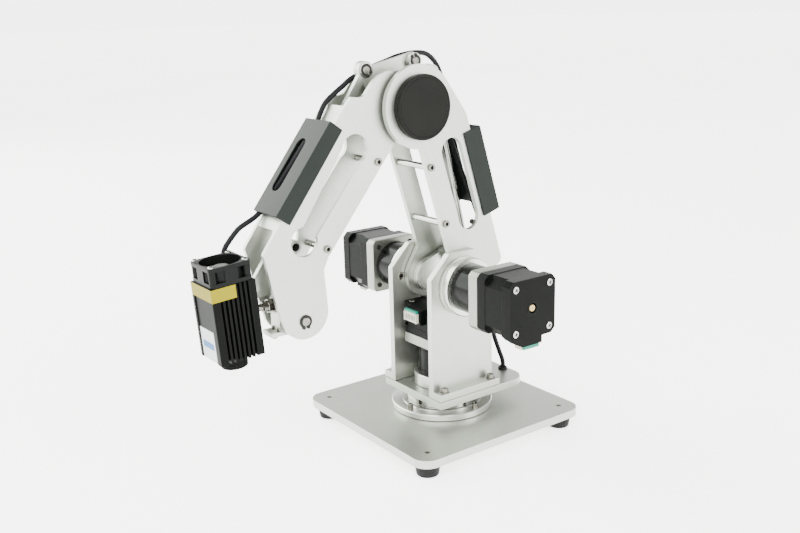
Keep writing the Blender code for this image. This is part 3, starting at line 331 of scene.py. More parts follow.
LOOKS = {
    "plate": look("anodised_plate", SILVER, 0.95, BRUSHED, (ALONG, FINE, FINE), bump=0.10),
    "upright": look("anodised_upright", SILVER, 0.95, BRUSHED, (FINE, FINE, ALONG), bump=0.10),
    "arm": look("anodised_lower_arm", SILVER, 0.95, BRUSHED, (FINE, FINE, ALONG), -ARM_LEAN, bump=0.10),
    "fore": look("anodised_forearm", SILVER, 0.95, BRUSHED, (ALONG, FINE, FINE), -FORE_DROP, bump=0.10),
    "cast": look("satin_adapter", CAST, 0.9, (0.28, 0.40), (FINE, FINE, ALONG), bump=0.10),
    "turned": look("turned_aluminium", BRIGHT, 0.95, (0.20, 0.32), radial=("Y", SHOULDER), bump=0.04),
    "turned_base": look("turned_base_ring", BRIGHT, 0.92, (0.24, 0.36), radial=("Z", (0.0, 0.0, 0.0)),
                        bump=0.04),
    # the edge colours of black and cover are a painted highlight on rounded edges, partly wear
    "black": look("black_anodised", DARK, 0.0, (0.30, 0.42), edge=(0.02, 0.022, 0.02), bump=0.08, gloss=0.04),
    "gloss": look("black_gearbox", DARK, 0.0, (0.16, 0.22), radial=("Y", SHOULDER), bump=0.0, gloss=0.09),
    "cap": look("black_turned_cap", CAP_DARK, 0.0, (0.34, 0.46), radial=("Y", ELBOW), bump=0.10, gloss=0.06),
    "cover": look("grey_black_cover", SOFT_DARK, 0.0, (0.36, 0.46), edge=(0.02, 0.026, 0.022), bump=0.10,
                  cloud=14.0, gloss=0.10),
    "steel": look("nickel_steel", STEEL, 1.0, (0.18, 0.30), bump=0.06),
    "bright_steel": look("polished_steel", POLISHED, 1.0, (0.10, 0.20), bump=0.04),
    "clip": look("blackened_spring_steel", CLIP_DARK, 0.0, (0.34, 0.48), gloss=0.08),
    "rubber": look("black_rubber", RUBBER, 0.0, (0.50, 0.65), bump=0.35, gloss=0.12),
    "sleeve": look("lead_sleeve", SLEEVE, 0.0, (0.34, 0.48), bump=0.10, gloss=0.08),
    "plastic": look("black_moulding", MOULDING, 0.0, (0.30, 0.44), bump=0.12, gloss=0.08),
    "yellow": look("yellow_label", YELLOW, 0.0, (0.40, 0.52), bump=0.04, gloss=0.1),
    "white": look("white_label", WHITE, 0.0, (0.40, 0.50), bump=0.04),
    "blue": look("blue_label_panel", BLUE, 0.0, (0.40, 0.50), bump=0.04, gloss=0.2),
    "ivory": look("ivory_connector", IVORY, 0.0, (0.36, 0.50)),
    "teal": look("teal_board_edge", TEAL, 0.0, (0.34, 0.50), gloss=0.2),
    "brass": look("brass_shaft", BRASS, 1.0, (0.24, 0.38)),
    "glass": look("lens_glass", GLASS, 0.0, (0.03, 0.06), bump=0.0, coat=1.0),
    # the hole finish is painted shade for sockets, slots and screw seats
    "hole": look("painted_shade_dark", RECESS_PAINTED_SHADE, 0.0, (0.6, 0.8), gloss=0.05),
}


# ---------------------------------------------------------------- mesh helpers

def bake_modifiers(made):
    """Replace an object's mesh with the result of its modifiers."""
    bpy.context.view_layer.update()
    solved = made.evaluated_get(bpy.context.evaluated_depsgraph_get())
    final = bpy.data.meshes.new_from_object(solved)
    made.modifiers.clear()
    made.data = final


def shaded(made, angle):
    """Smooth shading with sharp edges kept above an angle and wide flat faces left flat."""
    for face in made.data.polygons:
        face.use_smooth = True
    made.data.set_sharp_from_angle(angle=math.radians(angle))
    weigh = made.modifiers.new("flat", "WEIGHTED_NORMAL")
    weigh.keep_sharp = True
    bake_modifiers(made)


def new_object(name, shape, unit=None):
    """Move a bmesh into a new object in the scene; unit is the size of its unit in metres, if not one."""
    mesh = bpy.data.meshes.new(name)
    shape.to_mesh(mesh)
    shape.free()
    if unit:
        mesh.transform(Matrix.Scale(unit, 4))
    made = bpy.data.objects.new(name, mesh)
    bpy.context.scene.collection.objects.link(made)
    return made


def piece(name, shape, body, key, angle=SHARP_ANGLE):
    """Turn a bmesh in world millimetres into a finished piece, which rides on a body if one is given."""
    bmesh.ops.recalc_face_normals(shape, faces=shape.faces)
    made = new_object(name, shape, MM)
    made.data.materials.append(LOOKS[key])
    shaded(made, angle)
    if body:
        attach(made, body)
    return made


def cutter(shape):
    """Scratch object that a refined piece is cut with."""
    bmesh.ops.recalc_face_normals(shape, faces=shape.faces)
    return new_object("scratch", shape, MM)


def refined(node, key, width, cutters=()):
    """Stand-in for a CAD node: its shape with rounded edges, smooth round faces and optional cut-outs."""
    source = frame["nodes"][node]
    shape = bmesh.new()
    shape.from_mesh(source.data)
    bmesh.ops.remove_doubles(shape, verts=shape.verts, dist=WELD * MM)
    bmesh.ops.dissolve_limit(
        shape, angle_limit=math.radians(FLAT_ANGLE), verts=shape.verts, edges=shape.edges, delimit={"NORMAL"},
    )
    made = new_object(node + "_look", shape)
    for tool in cutters:
        cut = made.modifiers.new("cut", "BOOLEAN")
        cut.object = tool
        cut.solver = "EXACT"
    soft = made.modifiers.new("edges", "BEVEL")
    soft.width = width * MM
    soft.segments = 2
    soft.limit_method = "ANGLE"
    soft.angle_limit = math.radians(BEVEL_ANGLE)
    soft.use_clamp_overlap = True
    soft.harden_normals = False
    bake_modifiers(made)
    made.data.materials.clear()
    made.data.materials.append(LOOKS[key])
    shaded(made, SHARP_ANGLE)
    for tool in cutters:
        bpy.data.objects.remove(tool)
    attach(made, source["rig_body"])
    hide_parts(node)


def ring_points(radius, height, count, hexagon=False):
    """Points of a circle or hexagon (radius across corners) at a height."""
    points = []
    for i in range(count):
        angle = TURN * i / count
        reach = radius
        if hexagon:
            sector = math.pi / 3.0
            reach = radius * math.cos(0.5 * sector) / math.cos(angle % sector - 0.5 * sector)
        points.append((reach * math.cos(angle), reach * math.sin(angle), height))
    return points


def turned(shape, profile, count, place=WORLD):
    """Add a closed turned solid along local Z; rows are (height, radius) or (height, radius, "hex")."""
    rings = []
    for row in profile:
        points = ring_points(row[1], row[0], count, len(row) > 2)
        rings.append([shape.verts.new(place @ Vector(point)) for point in points])
    for low, high in zip(rings, rings[1:]):
        for i in range(count):
            j = (i + 1) % count
            shape.faces.new((low[i], low[j], high[j], high[i]))
    shape.faces.new(rings[0][::-1])
    shape.faces.new(rings[-1])


def turned_piece(name, profile, count, place, body, key):
    """Finished piece that is one turned solid."""
    shape = bmesh.new()
    turned(shape, profile, count, place)
    return piece(name, shape, body, key)


def bore_ring(shape, profile, place, count=LENS_STEPS):
    """Add a ring whose closed section is the profile, turned about local Z."""
    rings = [[shape.verts.new(place @ Vector(point)) for point in ring_points(radius, height, count)]
             for height, radius in profile]
    for low, high in zip(rings, rings[1:] + rings[:1]):
        for i in range(count):
            j = (i + 1) % count
            shape.faces.new((low[i], low[j], high[j], high[i]))


def block(shape, low, high, place=WORLD, soften=0.0):
    """Add a box between two corners, with its edges rounded by soften."""
    size = [high[i] - low[i] for i in range(3)]
    middle = [0.5 * (high[i] + low[i]) for i in range(3)]
    spot = place @ Matrix.Translation(middle) @ Matrix.Diagonal((*size, 1.0))
    made = bmesh.ops.create_cube(shape, size=1.0, matrix=spot)["verts"]
    if soften:
        edges = list({edge for vertex in made for edge in vertex.link_edges})
        bmesh.ops.bevel(shape, geom=edges, offset=soften, segments=2, affect="EDGES", profile=0.5)


def extruded(shape, outline, low, high, place=WORLD):
    """Add a prism of a simple outline in local XY from low to high."""
    bottom = [shape.verts.new(place @ Vector((x, y, low))) for x, y in outline]
    top = [shape.verts.new(place @ Vector((x, y, high))) for x, y in outline]
    count = len(outline)
    for i in range(count):
        j = (i + 1) % count
        shape.faces.new((bottom[i], bottom[j], top[j], top[i]))
    shape.faces.new(bottom[::-1])
    shape.faces.new(top)


def stadium(x0, x1, y, radius, steps=12):
    """Outline of a slot with round ends along X."""
    points = []
    for centre, start in ((x1, -0.25), (x0, 0.25)):
        for i in range(steps + 1):
            angle = TURN * (start + 0.5 * i / steps)
            points.append((centre + radius * math.cos(angle), y + radius * math.sin(angle)))
    return points


def facing(point, axis, place=WORLD):
    """Frame at a local point whose Z runs along a local axis."""
    turn = Vector(UP).rotation_difference(Vector(axis)).to_matrix().to_4x4()
    return place @ Matrix.Translation(point) @ turn


def raised(place, height):
    """A frame moved along its own Z."""
    return place @ Matrix.Translation((0.0, 0.0, height))


def square_of_four(reach):
    """Corners of a square round the local Z axis."""
    return [(reach * sx, reach * sy) for sx in SIDES for sy in SIDES]


def circle_of_four(radius, start):
    """Points a quarter turn apart on a circle, from a start angle in degrees."""
    angles = [math.radians(start + 90.0 * i) for i in range(4)]
    return [(radius * math.cos(angle), radius * math.sin(angle)) for angle in angles]


# ---------------------------------------------------------------- fasteners

def cap_screw(shape, place, radius, height):
    """Socket cap head standing on local Z."""
    pocket = 0.55 * radius
    rows = [(0.0, radius), (height - 0.25, radius), (height, radius - 0.25), (height, pocket + 0.15, "hex")]
    rows += [(height - 0.2, pocket, "hex"), (height - 0.6 * height, pocket, "hex")]
    turned(shape, rows, SCREW_STEPS, place)


def painted_socket_shade(shape, place, radius, height):
    """Dark hexagon of painted shade in the socket of a cap head, just under its top."""
    pocket = 0.55 * radius
    rows = [(0.4 * height, pocket, "hex"), (height - min(0.22, 0.3 * height), pocket, "hex")]
    turned(shape, rows, SCREW_STEPS, place)


def washer(shape, place, outer, thick):
    """Flat washer under a head."""
    rows = [(0.0, outer - 0.1), (0.1, outer), (thick - 0.1, outer), (thick, outer - 0.1)]
    turned(shape, rows, SCREW_STEPS, place)


def pan_screw(shape, place, radius, height):
    """Domed head of a cross-slot screw."""
    rows = [(0.0, radius), (0.45 * height, radius), (0.8 * height, 0.8 * radius), (height, 0.45 * radius)]
    turned(shape, rows, PAN_STEPS, place)


def slot_shade_cross(shape, place, radius, height):
    """Dark cross of painted shade where the slot of a pan head is."""
    long, wide = 0.62 * radius, 0.16 * radius
    for spin in (0.0, QUARTER):
        turn = place @ Matrix.Rotation(spin + 0.4, 4, "Z")
        block(shape, (-long, -wide, 0.4 * height), (long, wide, height + 0.03), turn)


def screw_group(name, body, spots, radius, height, wash=0.0, key="steel"):
    """Two pieces for a set of socket screws: heads, on washers of radius wash, and painted shade in their
    sockets.
    """
    thick = 0.5
    shape, dark = bmesh.new(), bmesh.new()
    for spot in spots:
        if wash:
            washer(shape, spot, wash, thick)
        seat = raised(spot, thick if wash else 0.0)
        cap_screw(shape, seat, radius, height)
        # dark hexagon of painted shade in each socket
        painted_socket_shade(dark, seat, radius, height)
    piece(name, shape, body, key)
    piece(name + "_socket_painted_shade", dark, body, "hole")


def circlip(shape, place, radius, ears_at):
    """Open spring ring with two eared ends round a pin of the given radius; ears_at is in degrees."""
    outer, gap, steps = radius + 1.5, 22.0, 28
    sweep = [math.radians(ears_at + gap + (360.0 - 2.0 * gap) * i / steps) for i in range(steps + 1)]
    points = [(outer * math.cos(angle), outer * math.sin(angle)) for angle in sweep]
    points += [(radius * math.cos(angle), radius * math.sin(angle)) for angle in sweep[::-1]]
    extruded(shape, points, 0.0, 0.7, place)
    for side in SIDES:
        angle = math.radians(ears_at + side * gap)
        centre = Vector(((radius + 1.4) * math.cos(angle), (radius + 1.4) * math.sin(angle), 0.0))
        turned(shape, [(0.0, 1.15), (0.75, 1.15)], 16, place @ Matrix.Translation(centre))


# ---------------------------------------------------------------- frame, base and turret

# CAD nodes with refined stand-ins: finish, material slot, edge rounding and nodes
REFINED = (
    ("plate", "anodised_silver", 0.35, ("base_plate", "turret_plate", "levelling_triangle", "tool_carrier")),
    ("upright", "anodised_silver", 0.4, ("bracket_left", "bracket_right", "levelling_anchor")),
    ("arm", "anodised_silver", 0.35,
     ("lower_arm_plate_left", "lower_arm_plate_right", "lower_levelling_link")),
    ("fore", "anodised_silver", 0.3,
     ("forearm_plate_left", "forearm_plate_right", "forearm_spine", "upper_levelling_link")),
    ("cast", "anodised_silver", 0.25, ("yaw_adapter", "shoulder_adapter", "elbow_adapter")),
    ("turned", "machined_silver", 0.3, ("shoulder_hub", "crank")),
    ("bright_steel", "machined_silver", 0.2,
     ("lower_arm_spacer_1", "forearm_spacer_1", "lower_arm_spacer_2", "forearm_spacer_2")),
    ("bright_steel", "bearing_steel", 0.2, ("elbow_bearing_left", "elbow_bearing_right")),
    ("bright_steel", "steel", 0.12, ("elbow_shaft", "crank_pin", "drive_rod")),
    ("bright_steel", "bearing_steel", 0.3, ("yaw_bearing",)),
    ("rubber", "black_plastic", 0.2, ("lead_gland",)),
    ("rubber", "black_rubber", 0.9, ("foot_1", "foot_2", "foot_3", "foot_4")),
)

# slots in the covers: start, end, side and radius in the plane they are cut in, then the cut's depths
FORE_SLOT, FORE_SLOT_DEPTHS = (67.0, 98.0, -4.2, 4.8), (46.0, 54.0)
ARM_SLOT, ARM_SLOT_DEPTHS = (52.0, 90.0, 0.0, 2.4), (0.0, 8.0)
ARM_SLOT_SIDES, ARM_SLOT_START = (-7.5, 7.5), -56.0


def dress_frame():
    """Refined stand-ins for the plates, links, rods, feet and covers."""
    for key, slot, width, nodes in REFINED:
        for node in nodes:
            refined(node, key, width)
    hole = bmesh.new()
    extruded(hole, stadium(*FORE_SLOT), *FORE_SLOT_DEPTHS, FORE)
    refined("forearm_cover", "cover", 0.5, [cutter(hole)])
    holes = []
    for side in ARM_SLOT_SIDES:
        hole = bmesh.new()
        # X runs along the arm and Z forward, from behind the cover's rear wall
        place = ARM @ Matrix(((0, 0, 1, ARM_SLOT_START), (0, 1, 0, side), (1, 0, 0, 0), (0, 0, 0, 1)))
        extruded(hole, stadium(*ARM_SLOT), *ARM_SLOT_DEPTHS, place)
        holes.append(cutter(hole))
    refined("lower_arm_cover", "cover", 0.5, holes)


def dress_base():
    """Turned flange with its screws, and the screws that hold the feet."""
    low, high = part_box("base_flange")
    bottom, radius, seat = low.z / MM, high.x / MM, 10.9
    screw_circle, first_screw, foot_reach = 34.8, 8.0, 64.0
    rows = [(bottom, radius - 0.3), (bottom + 0.3, radius), (seat - 0.5, radius), (seat, radius - 0.5)]
    rows += [(seat, 31.5), (seat - 0.35, 31.2), (seat - 0.35, 30.8), (seat, 30.5)]
    rows += [(seat, 4.0), (high.z / MM, 4.0)]
    flange = turned_piece(
        "base_flange_turned", rows, RING_STEPS, WORLD, "base", "turned_base",
    )
    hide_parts("base_flange")
    spots = [Matrix.Translation((x, y, seat)) for x, y in circle_of_four(screw_circle, first_screw)]
    screw_group("flange_screws", "base", spots, 2.4, 4.0)
    shape = bmesh.new()
    rows = [(5.2, 1.9), (5.75, 1.9), (5.95, 1.7), (5.95, 0.95, "hex"), (5.4, 0.9, "hex")]
    for x, y in square_of_four(foot_reach):
        turned(shape, rows, SCREW_STEPS, Matrix.Translation((x, y, 0.0)))
    piece("foot_screws", shape, "base", "steel")


def dress_turret():
    """Screws in the bracket feet, in the motor flanges behind the brackets and under the deck."""
    foot_top, bracket_inside, deck_bottom = 29.5, 21.5, 17.7
    screw_circle, first_screw = 20.4, 2.0
    spots = [Matrix.Translation((x, y, foot_top)) for x in (22.0, -23.0) for y in (-31.6, 31.6)]
    screw_group("bracket_foot_screws", "turret", spots, 2.75, 3.0, wash=3.5)
    spots = []
    for side in SIDES:
        for x, z in circle_of_four(screw_circle, first_screw):
            spots.append(facing((x, side * bracket_inside, SHOULDER.z + z), (0.0, -side, 0.0)))
    screw_group("motor_flange_screws", "turret", spots, 3.0, 0.35)
    shape = bmesh.new()
    rows = [(0.0, 1.5), (0.3, 1.5), (0.3, 0.8, "hex"), (0.05, 0.8, "hex")]
    for x in (-22.0, 22.0):
        for y in (-24.0, 24.0):
            turned(shape, rows, SCREW_STEPS, Matrix.Translation((x, y, deck_bottom)))
    piece("deck_underside_screws", shape, "turret", "steel")


def dress_motor(prefix, place, lengths, ring_radius, ring_key):
    """Stand-ins and trim for one geared motor; lengths are ring, gearbox, adapter and motor."""
    ring_len, gear_len, plate_len, motor_len = lengths
    gear_radius, pan_radius, pan_height = 18.0, 2.45, 0.75
    rows = [(0.0, ring_radius - 0.3), (0.3, ring_radius), (2.6, ring_radius), (2.75, ring_radius - 0.25)]
    rows += [(2.95, ring_radius - 0.25), (3.1, ring_radius), (ring_len - 0.6, ring_radius)]
    rows += [(ring_len, ring_radius - 0.7), (ring_len, 17.5)]
    ring = turned_piece(
        prefix + "_ring_turned", rows, RING_STEPS, place, "turret", ring_key,
    )
    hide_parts(prefix + "_mounting_ring")
    base = ring_len + JOINT_GAP
    rows = [(0.0, gear_radius - 0.4), (0.4, gear_radius)]
    for groove in (3.0, gear_len - 3.4):
        rows += [(groove, gear_radius), (groove + 0.15, gear_radius - 0.25)]
        rows += [(groove + 0.35, gear_radius - 0.25), (groove + 0.5, gear_radius)]
    rows += [(gear_len - 0.4, gear_radius), (gear_len, gear_radius - 0.4)]
    rows = [(base + height, radius) for height, radius in rows]
    gear = turned_piece(
        prefix + "_gearbox_turned", rows, RING_STEPS, place, "turret", "gloss",
    )
    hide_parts(prefix + "_gearbox")
    refined(prefix + "_motor", "black", 0.45)
    face = base + gear_len + JOINT_GAP
    rear = face + plate_len + JOINT_GAP + motor_len
    front, heads, cross, painted_shadows = bmesh.new(), bmesh.new(), bmesh.new(), bmesh.new()
    for x, y in square_of_four(MOTOR_SCREW_REACH):
        corner = place @ Matrix.Translation((x, y, 0.0))
        cap_screw(front, raised(corner, face) @ Matrix.Rotation(math.pi, 4, "X"), 1.9, 0.9)
        seat = raised(corner, rear)
        # thin dark disc of painted shadow round each rear screw head
        turned(painted_shadows, [(0.0, 3.0), (0.06, 3.0)], BUSH_STEPS, seat)
        pan_screw(heads, seat, pan_radius, pan_height)
        slot_shade_cross(cross, seat, pan_radius, pan_height)
    piece(prefix + "_adapter_screws", front, "turret", "clip")
    piece(prefix + "_rear_screws", heads, "turret", "bright_steel")
    # dark crosses of painted shade in the rear screw slots
    piece(prefix + "_rear_screw_slot_shade", cross, "turret", "hole")
    # painted shadow discs under the rear screw heads
    piece(prefix + "_rear_screw_painted_shadow_discs", painted_shadows, "turret", "hole")
    rows = [(rear - 2.5, 2.5), (rear - 0.5, 2.5), (rear - 0.2, 2.2), (rear - 0.2, 0.5), (rear - 0.5, 0.3)]
    turned_piece(prefix + "_rear_shaft", rows, BUSH_STEPS, place, "turret", "brass")
    shape = bmesh.new()
    rows = [(rear - 0.2, 5.1), (rear + 0.12, 5.1), (rear + 0.2, 5.0), (rear + 0.2, 3.7), (rear - 0.5, 3.62)]
    bore_ring(shape, rows, place)
    piece(prefix + "_rear_bush", shape, "turret", "black")
    dress_connector(prefix, place, rear)


def dress_connector(prefix, place, rear):
    """Ivory socket, teal board edge and contacts under the motor's tab."""
    low, high, half = rear - 9.8, rear - 2.6, 7.4
    shape = bmesh.new()
    block(shape, (-half, -28.6, low), (half, -26.5, high), place, 0.3)
    for x0, x1 in ((-half, -6.5), (6.5, half)):
        block(shape, (x0, -29.4, low), (x1, -28.4, high), place, 0.2)
    piece(prefix + "_connector", shape, "turret", "ivory")
    shape = bmesh.new()
    block(shape, (-6.9, -28.9, high + 0.05), (6.9, -26.5, rear - 0.7), place, 0.15)
    piece(prefix + "_connector_board", shape, "turret", "teal")
    shape = bmesh.new()
    for i in range(6):
        x = 1.9 * i - 4.75
        block(shape, (x - 0.35, -29.0, low + 1.6), (x + 0.35, -28.5, high - 1.6), place, 0.08)
    piece(prefix + "_connector_pins", shape, "turret", "steel")


# ---------------------------------------------------------------- arm details

def dress_elbow():
    """Turned caps with a rim groove."""
    cap_seat = 21.3
    rows = [(0.0, 22.3), (0.3, 22.6), (4.4, 22.6), (4.9, 22.4), (5.2, 21.9), (5.2, 20.6), (5.0, 20.4)]
    rows += [(5.0, 20.1), (5.2, 19.9), (5.2, 0.6)]
    for side, name in ((1, "elbow_cap_left"), (-1, "elbow_cap_right")):
        place = facing((ELBOW.x, side * cap_seat, ELBOW.z), (0.0, side, 0.0))
        cap = turned_piece(name + "_turned", rows, CAP_STEPS, place, "lower_arm", "cap")
        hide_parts(name)


def dress_arms():
    """Screws of the arm plates and cover, pins, the forearm's inner boss and the triangle's washers."""
    arm_outside, cover_inside, fore_outside = 21.0, 16.98, 14.3
    spots = []
    for along in (47.8, 92.2):
        for side in SIDES:
            spots.append(facing((-3.6, side * arm_outside, along), (0.0, side, 0.0), ARM))
    screw_group("lower_arm_screws", "lower_arm", spots, 2.7, 1.7)
    spots = [facing((-30.0, side * cover_inside, 36.5), (0.0, -side, 0.0), ARM) for side in SIDES]
    screw_group("cover_screws", "lower_arm", spots, 2.0, 1.4, key="clip")
    spots = []
    for along, up in ((47.5, 2.8), (117.0, 2.4)):
        for side in SIDES:
            spots.append(facing((along, side * fore_outside, up), (0.0, side, 0.0), FORE))
    screw_group("forearm_screws", "forearm", spots, 2.7, 1.7)
    dress_pins()
    shape = bmesh.new()
    boss = facing((125.6, -11.2, 13.2), ACROSS, FORE)
    bore_ring(shape, [(0.0, 4.7), (7.0, 4.7), (7.4, 4.3), (7.4, 2.9), (1.0, 2.7)], boss)
    piece("forearm_inner_boss", shape, "forearm", "fore")
    rows = [(0.6, 2.7), (4.6, 2.7), (4.6, 1.3, "hex"), (3.0, 1.2, "hex")]
    turned_piece("forearm_boss_screw", rows, SCREW_STEPS, boss, "forearm", "clip")
    shape = bmesh.new()
    for node, radius in (("triangle_pin_front", 6.0), ("triangle_pin_rear", 5.6)):
        low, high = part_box(node)
        place = facing((0.5 * (low.x + high.x) / MM, 0.5, 0.5 * (low.z + high.z) / MM), ACROSS)
        bore_ring(shape, [(0.0, radius - 0.6), (0.25, radius - 0.4), (0.25, 3.9), (0.0, 3.8)], place)
    piece("link_washers", shape, "levelling_triangle", "bright_steel")


def dress_pins():
    """Bright wrist and triangle pins, held by dark circlips."""
    wrist_clip_seat, clip_inset = 14.6, 0.95
    rows = [(-15.8, 2.6), (-15.4, 3.0), (15.4, 3.0), (15.8, 2.6)]
    place = facing((WRIST.x, 0.0, WRIST.z), ACROSS)
    pin = turned_piece("wrist_pin_turned", rows, PIN_STEPS, place, "forearm", "steel")
    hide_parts("wrist_pin")
    shape = bmesh.new()
    for side in SIDES:
        place = facing((WRIST.x, side * wrist_clip_seat, WRIST.z), (0.0, side, 0.0))
        circlip(shape, place, 3.05, 90.0 * side)
    piece("wrist_circlips", shape, "forearm", "clip")
    shape = bmesh.new()
    for node, ears_at in (("triangle_pin_front", 130.0), ("triangle_pin_rear", -70.0)):
        low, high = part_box(node)
        x, z = 0.5 * (low.x + high.x) / MM, 0.5 * (low.z + high.z) / MM
        length = (high.y - low.y) / MM
        rows = [(0.0, 2.4), (0.3, 2.7), (length - 0.35, 2.7), (length, 2.4)]
        start = facing((x, low.y / MM, z), ACROSS)
        bright = turned_piece(
            node + "_turned", rows, PIN_STEPS, start, "levelling_triangle", "steel",
        )
        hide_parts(node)
        circlip(shape, facing((x, high.y / MM - clip_inset, z), ACROSS), 2.75, ears_at)
    piece("triangle_circlips", shape, "levelling_triangle", "clip")


# ---------------------------------------------------------------- tool

def dress_tool():
    """Shelf screws, bolt with its washer, laser body, labels, fan, lens barrel and lens."""
    shape = bmesh.new()
    thick = 0.4
    for y in (-3.6, 3.6):
        place = Matrix.Translation((141.3, y, 97.0))
        washer(shape, place, 2.6, thick)
        cap_screw(shape, raised(place, thick), 2.0, 1.7)
    cap_screw(shape, Matrix.Translation((145.0, 3.0, 94.0)) @ Matrix.Rotation(math.pi, 4, "X"), 1.8, 1.6)
    piece("shelf_screws", shape, "tool", "steel")
    seat = 144.4
    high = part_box("laser_bolt")[1]
    rows = [(-2.4, 5.4), (-1.9, 5.6), (-1.3, 5.6), (-0.8, 5.4), (-0.8, 4.6, "hex"), (0.2, 5.0, "hex")]
    rows += [(3.2, 5.0, "hex"), (3.2, 3.9), (3.8, 3.6), (6.6, 3.6), (7.0, 3.3), (7.0, 2.4)]
    rows += [(high.x / MM - seat, 2.4)]
    place = facing((seat, 0.0, 115.0), FORWARD)
    bolt = turned_piece("laser_bolt_turned", rows, HUB_STEPS, place, "tool", "steel")
    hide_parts("laser_bolt")
    recess = bmesh.new()
    block(recess, (15.0, -12.4, -27.0), (17.5, 9.4, 40.0), LASER)
    refined("laser_heat_sink", "black", 0.22, [cutter(recess)])
    dress_labels()
    dress_fan()
    rows = [(-26.25, 8.6), (-26.8, 9.0)]
    for i in range(5):
        top = -27.8 - 0.9 * i
        rows += [(top, 9.0), (top - 0.2, 8.7), (top - 0.5, 8.7), (top - 0.7, 9.0)]
    rows += [(-33.4, 9.0), (-33.85, 8.6), (-33.85, 5.4), (-32.6, 4.6)]
    barrel = turned_piece(
        "laser_lens_barrel_turned", rows[::-1], BARREL_STEPS, LASER, "tool", "black",
    )
    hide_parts("laser_lens_barrel")
    rows = [(-33.2, 1.6), (-33.1, 3.0), (-32.9, 4.0), (-32.62, 4.6)]
    turned_piece("laser_lens_glass", rows, LENS_STEPS, LASER, "tool", "glass")


def round_corner(x, y, radius):
    """Quarter round from the +Y face to the +X face of a body whose square corner is at x, y."""
    angles = [QUARTER * i / 4 for i in range(5)]
    return [(x - radius * (1 - math.sin(a)), y - radius * (1 - math.cos(a))) for a in angles]


def dress_labels():
    """Blank yellow band round the front corner and blank white label with a blue panel."""
    half_x, half_y, gap, thick = 15.8, 15.15, 0.02, 0.14
    side_end, front_end = -1.4, -14.5
    inner = [(side_end, half_y + gap), *round_corner(half_x + gap, half_y + gap, 0.3)]
    inner += [(half_x + gap, front_end)]
    outer = [(side_end, half_y + thick), *round_corner(half_x + thick, half_y + thick, 0.34)]
    outer += [(half_x + thick, front_end)]
    shape = bmesh.new()
    extruded(shape, inner + outer[::-1], 17.2, 25.9, LASER)
    piece("laser_yellow_band", shape, "tool", "yellow")
    shape = bmesh.new()
    block(shape, (15.02, -12.0, -25.4), (15.16, 8.6, -4.4), LASER, 0.05)
    piece("laser_white_label", shape, "tool", "white")
    shape = bmesh.new()
    block(shape, (15.17, -9.6, -17.6), (15.24, 6.2, -13.0), LASER, 0.03)
    piece("laser_blue_panel", shape, "tool", "blue")


def dress_fan():
    """Fan frame with open corners, posts and screws, and a rotor with curved blades."""
    low, screw_reach, pan_radius, pan_height = 26.25, 12.0, 2.1, 1.3
    opening, outer = 14.5, 16.0
    pockets, posts = [], bmesh.new()
    for quadrant in range(4):
        turn = LASER @ Matrix.Rotation(quadrant * QUARTER, 4, "Z")
        corner = [(outer, 4.6), (outer, outer), (4.6, outer)]
        for step in range(9):
            angle = math.radians(72.0 - 54.0 * step / 8)
            corner.append((opening * math.cos(angle), opening * math.sin(angle)))
        pocket = bmesh.new()
        extruded(pocket, corner, low + 2.6, low + 10.4, turn)
        pockets.append(cutter(pocket))
        spot = turn @ Matrix.Translation((screw_reach, screw_reach, 0.0))
        turned(posts, [(low + 2.4, 2.5), (low + 10.6, 2.5)], SCREW_STEPS, spot)
    refined("laser_fan_frame", "plastic", 0.25, pockets)
    piece("fan_posts", posts, "tool", "plastic")
    heads, cross = bmesh.new(), bmesh.new()
    for x, y in square_of_four(screw_reach):
        seat = LASER @ Matrix.Translation((x, y, low + 13.0))
        pan_screw(heads, seat, pan_radius, pan_height)
        slot_shade_cross(cross, seat, pan_radius, pan_height)
    piece("fan_screws", heads, "tool", "bright_steel")
    # dark crosses of painted shade in the fan screw slots
    piece("fan_screw_slot_shade", cross, "tool", "hole")
    shape = bmesh.new()
    hub = [(low + 1.9, 6.2), (low + 2.2, 6.6), (low + 8.6, 6.6), (low + 9.2, 6.0), (low + 9.2, 0.8)]
    turned(shape, hub, HUB_STEPS, LASER)
    blades, steps = 7, 5
    for i in range(blades):
        rows = []
        for step in range(steps + 1):
            reach = 6.3 + 6.7 * step / steps
            sweep = TURN * i / blades + 0.30 * (step / steps) ** 1.3
            row = []
            for along in (0.0, 0.5, 1.0):
                angle = sweep + (0.62 - 0.12 * step / steps) * (along - 0.5)
                height = low + 3.0 + 4.9 * along + 0.5 * math.sin(math.pi * along)
                row.append((reach, angle, height))
            rows.append(row)
        add_blade(shape, rows, 0.55)
    rotor = piece("fan_rotor_bladed", shape, "fan_rotor", "plastic", angle=40.0)
    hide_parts("laser_fan_rotor")
    rows = [(low + 9.22, 4.9), (low + 9.34, 4.8)]
    turned_piece("fan_hub_disc", rows, LENS_STEPS, LASER, "fan_rotor", "cast")


def add_blade(shape, rows, thick):
    """Closed thin blade from a grid of (reach, angle, height) rows."""
    layers = []
    for lift in (0.0, thick):
        grid = []
        for row in rows:
            line = []
            for reach, angle, height in row:
                point = Vector((reach * math.cos(angle), reach * math.sin(angle), height + lift))
                line.append(shape.verts.new(LASER @ point))
            grid.append(line)
        layers.append(grid)
    count, wide = len(rows), len(rows[0])
    for i in range(count - 1):
        for j in range(wide - 1):
            for grid in layers:
                shape.faces.new((grid[i][j], grid[i][j + 1], grid[i + 1][j + 1], grid[i + 1][j]))
    rim = [(i, 0) for i in range(count)] + [(count - 1, j) for j in range(1, wide)]
    rim += [(i, wide - 1) for i in range(count - 2, -1, -1)] + [(0, j) for j in range(wide - 2, 0, -1)]
    for (i, j), (k, m) in zip(rim, rim[1:] + rim[:1]):
        shape.faces.new((layers[0][i][j], layers[0][k][m], layers[1][k][m], layers[1][i][j]))


# ---------------------------------------------------------------- lead

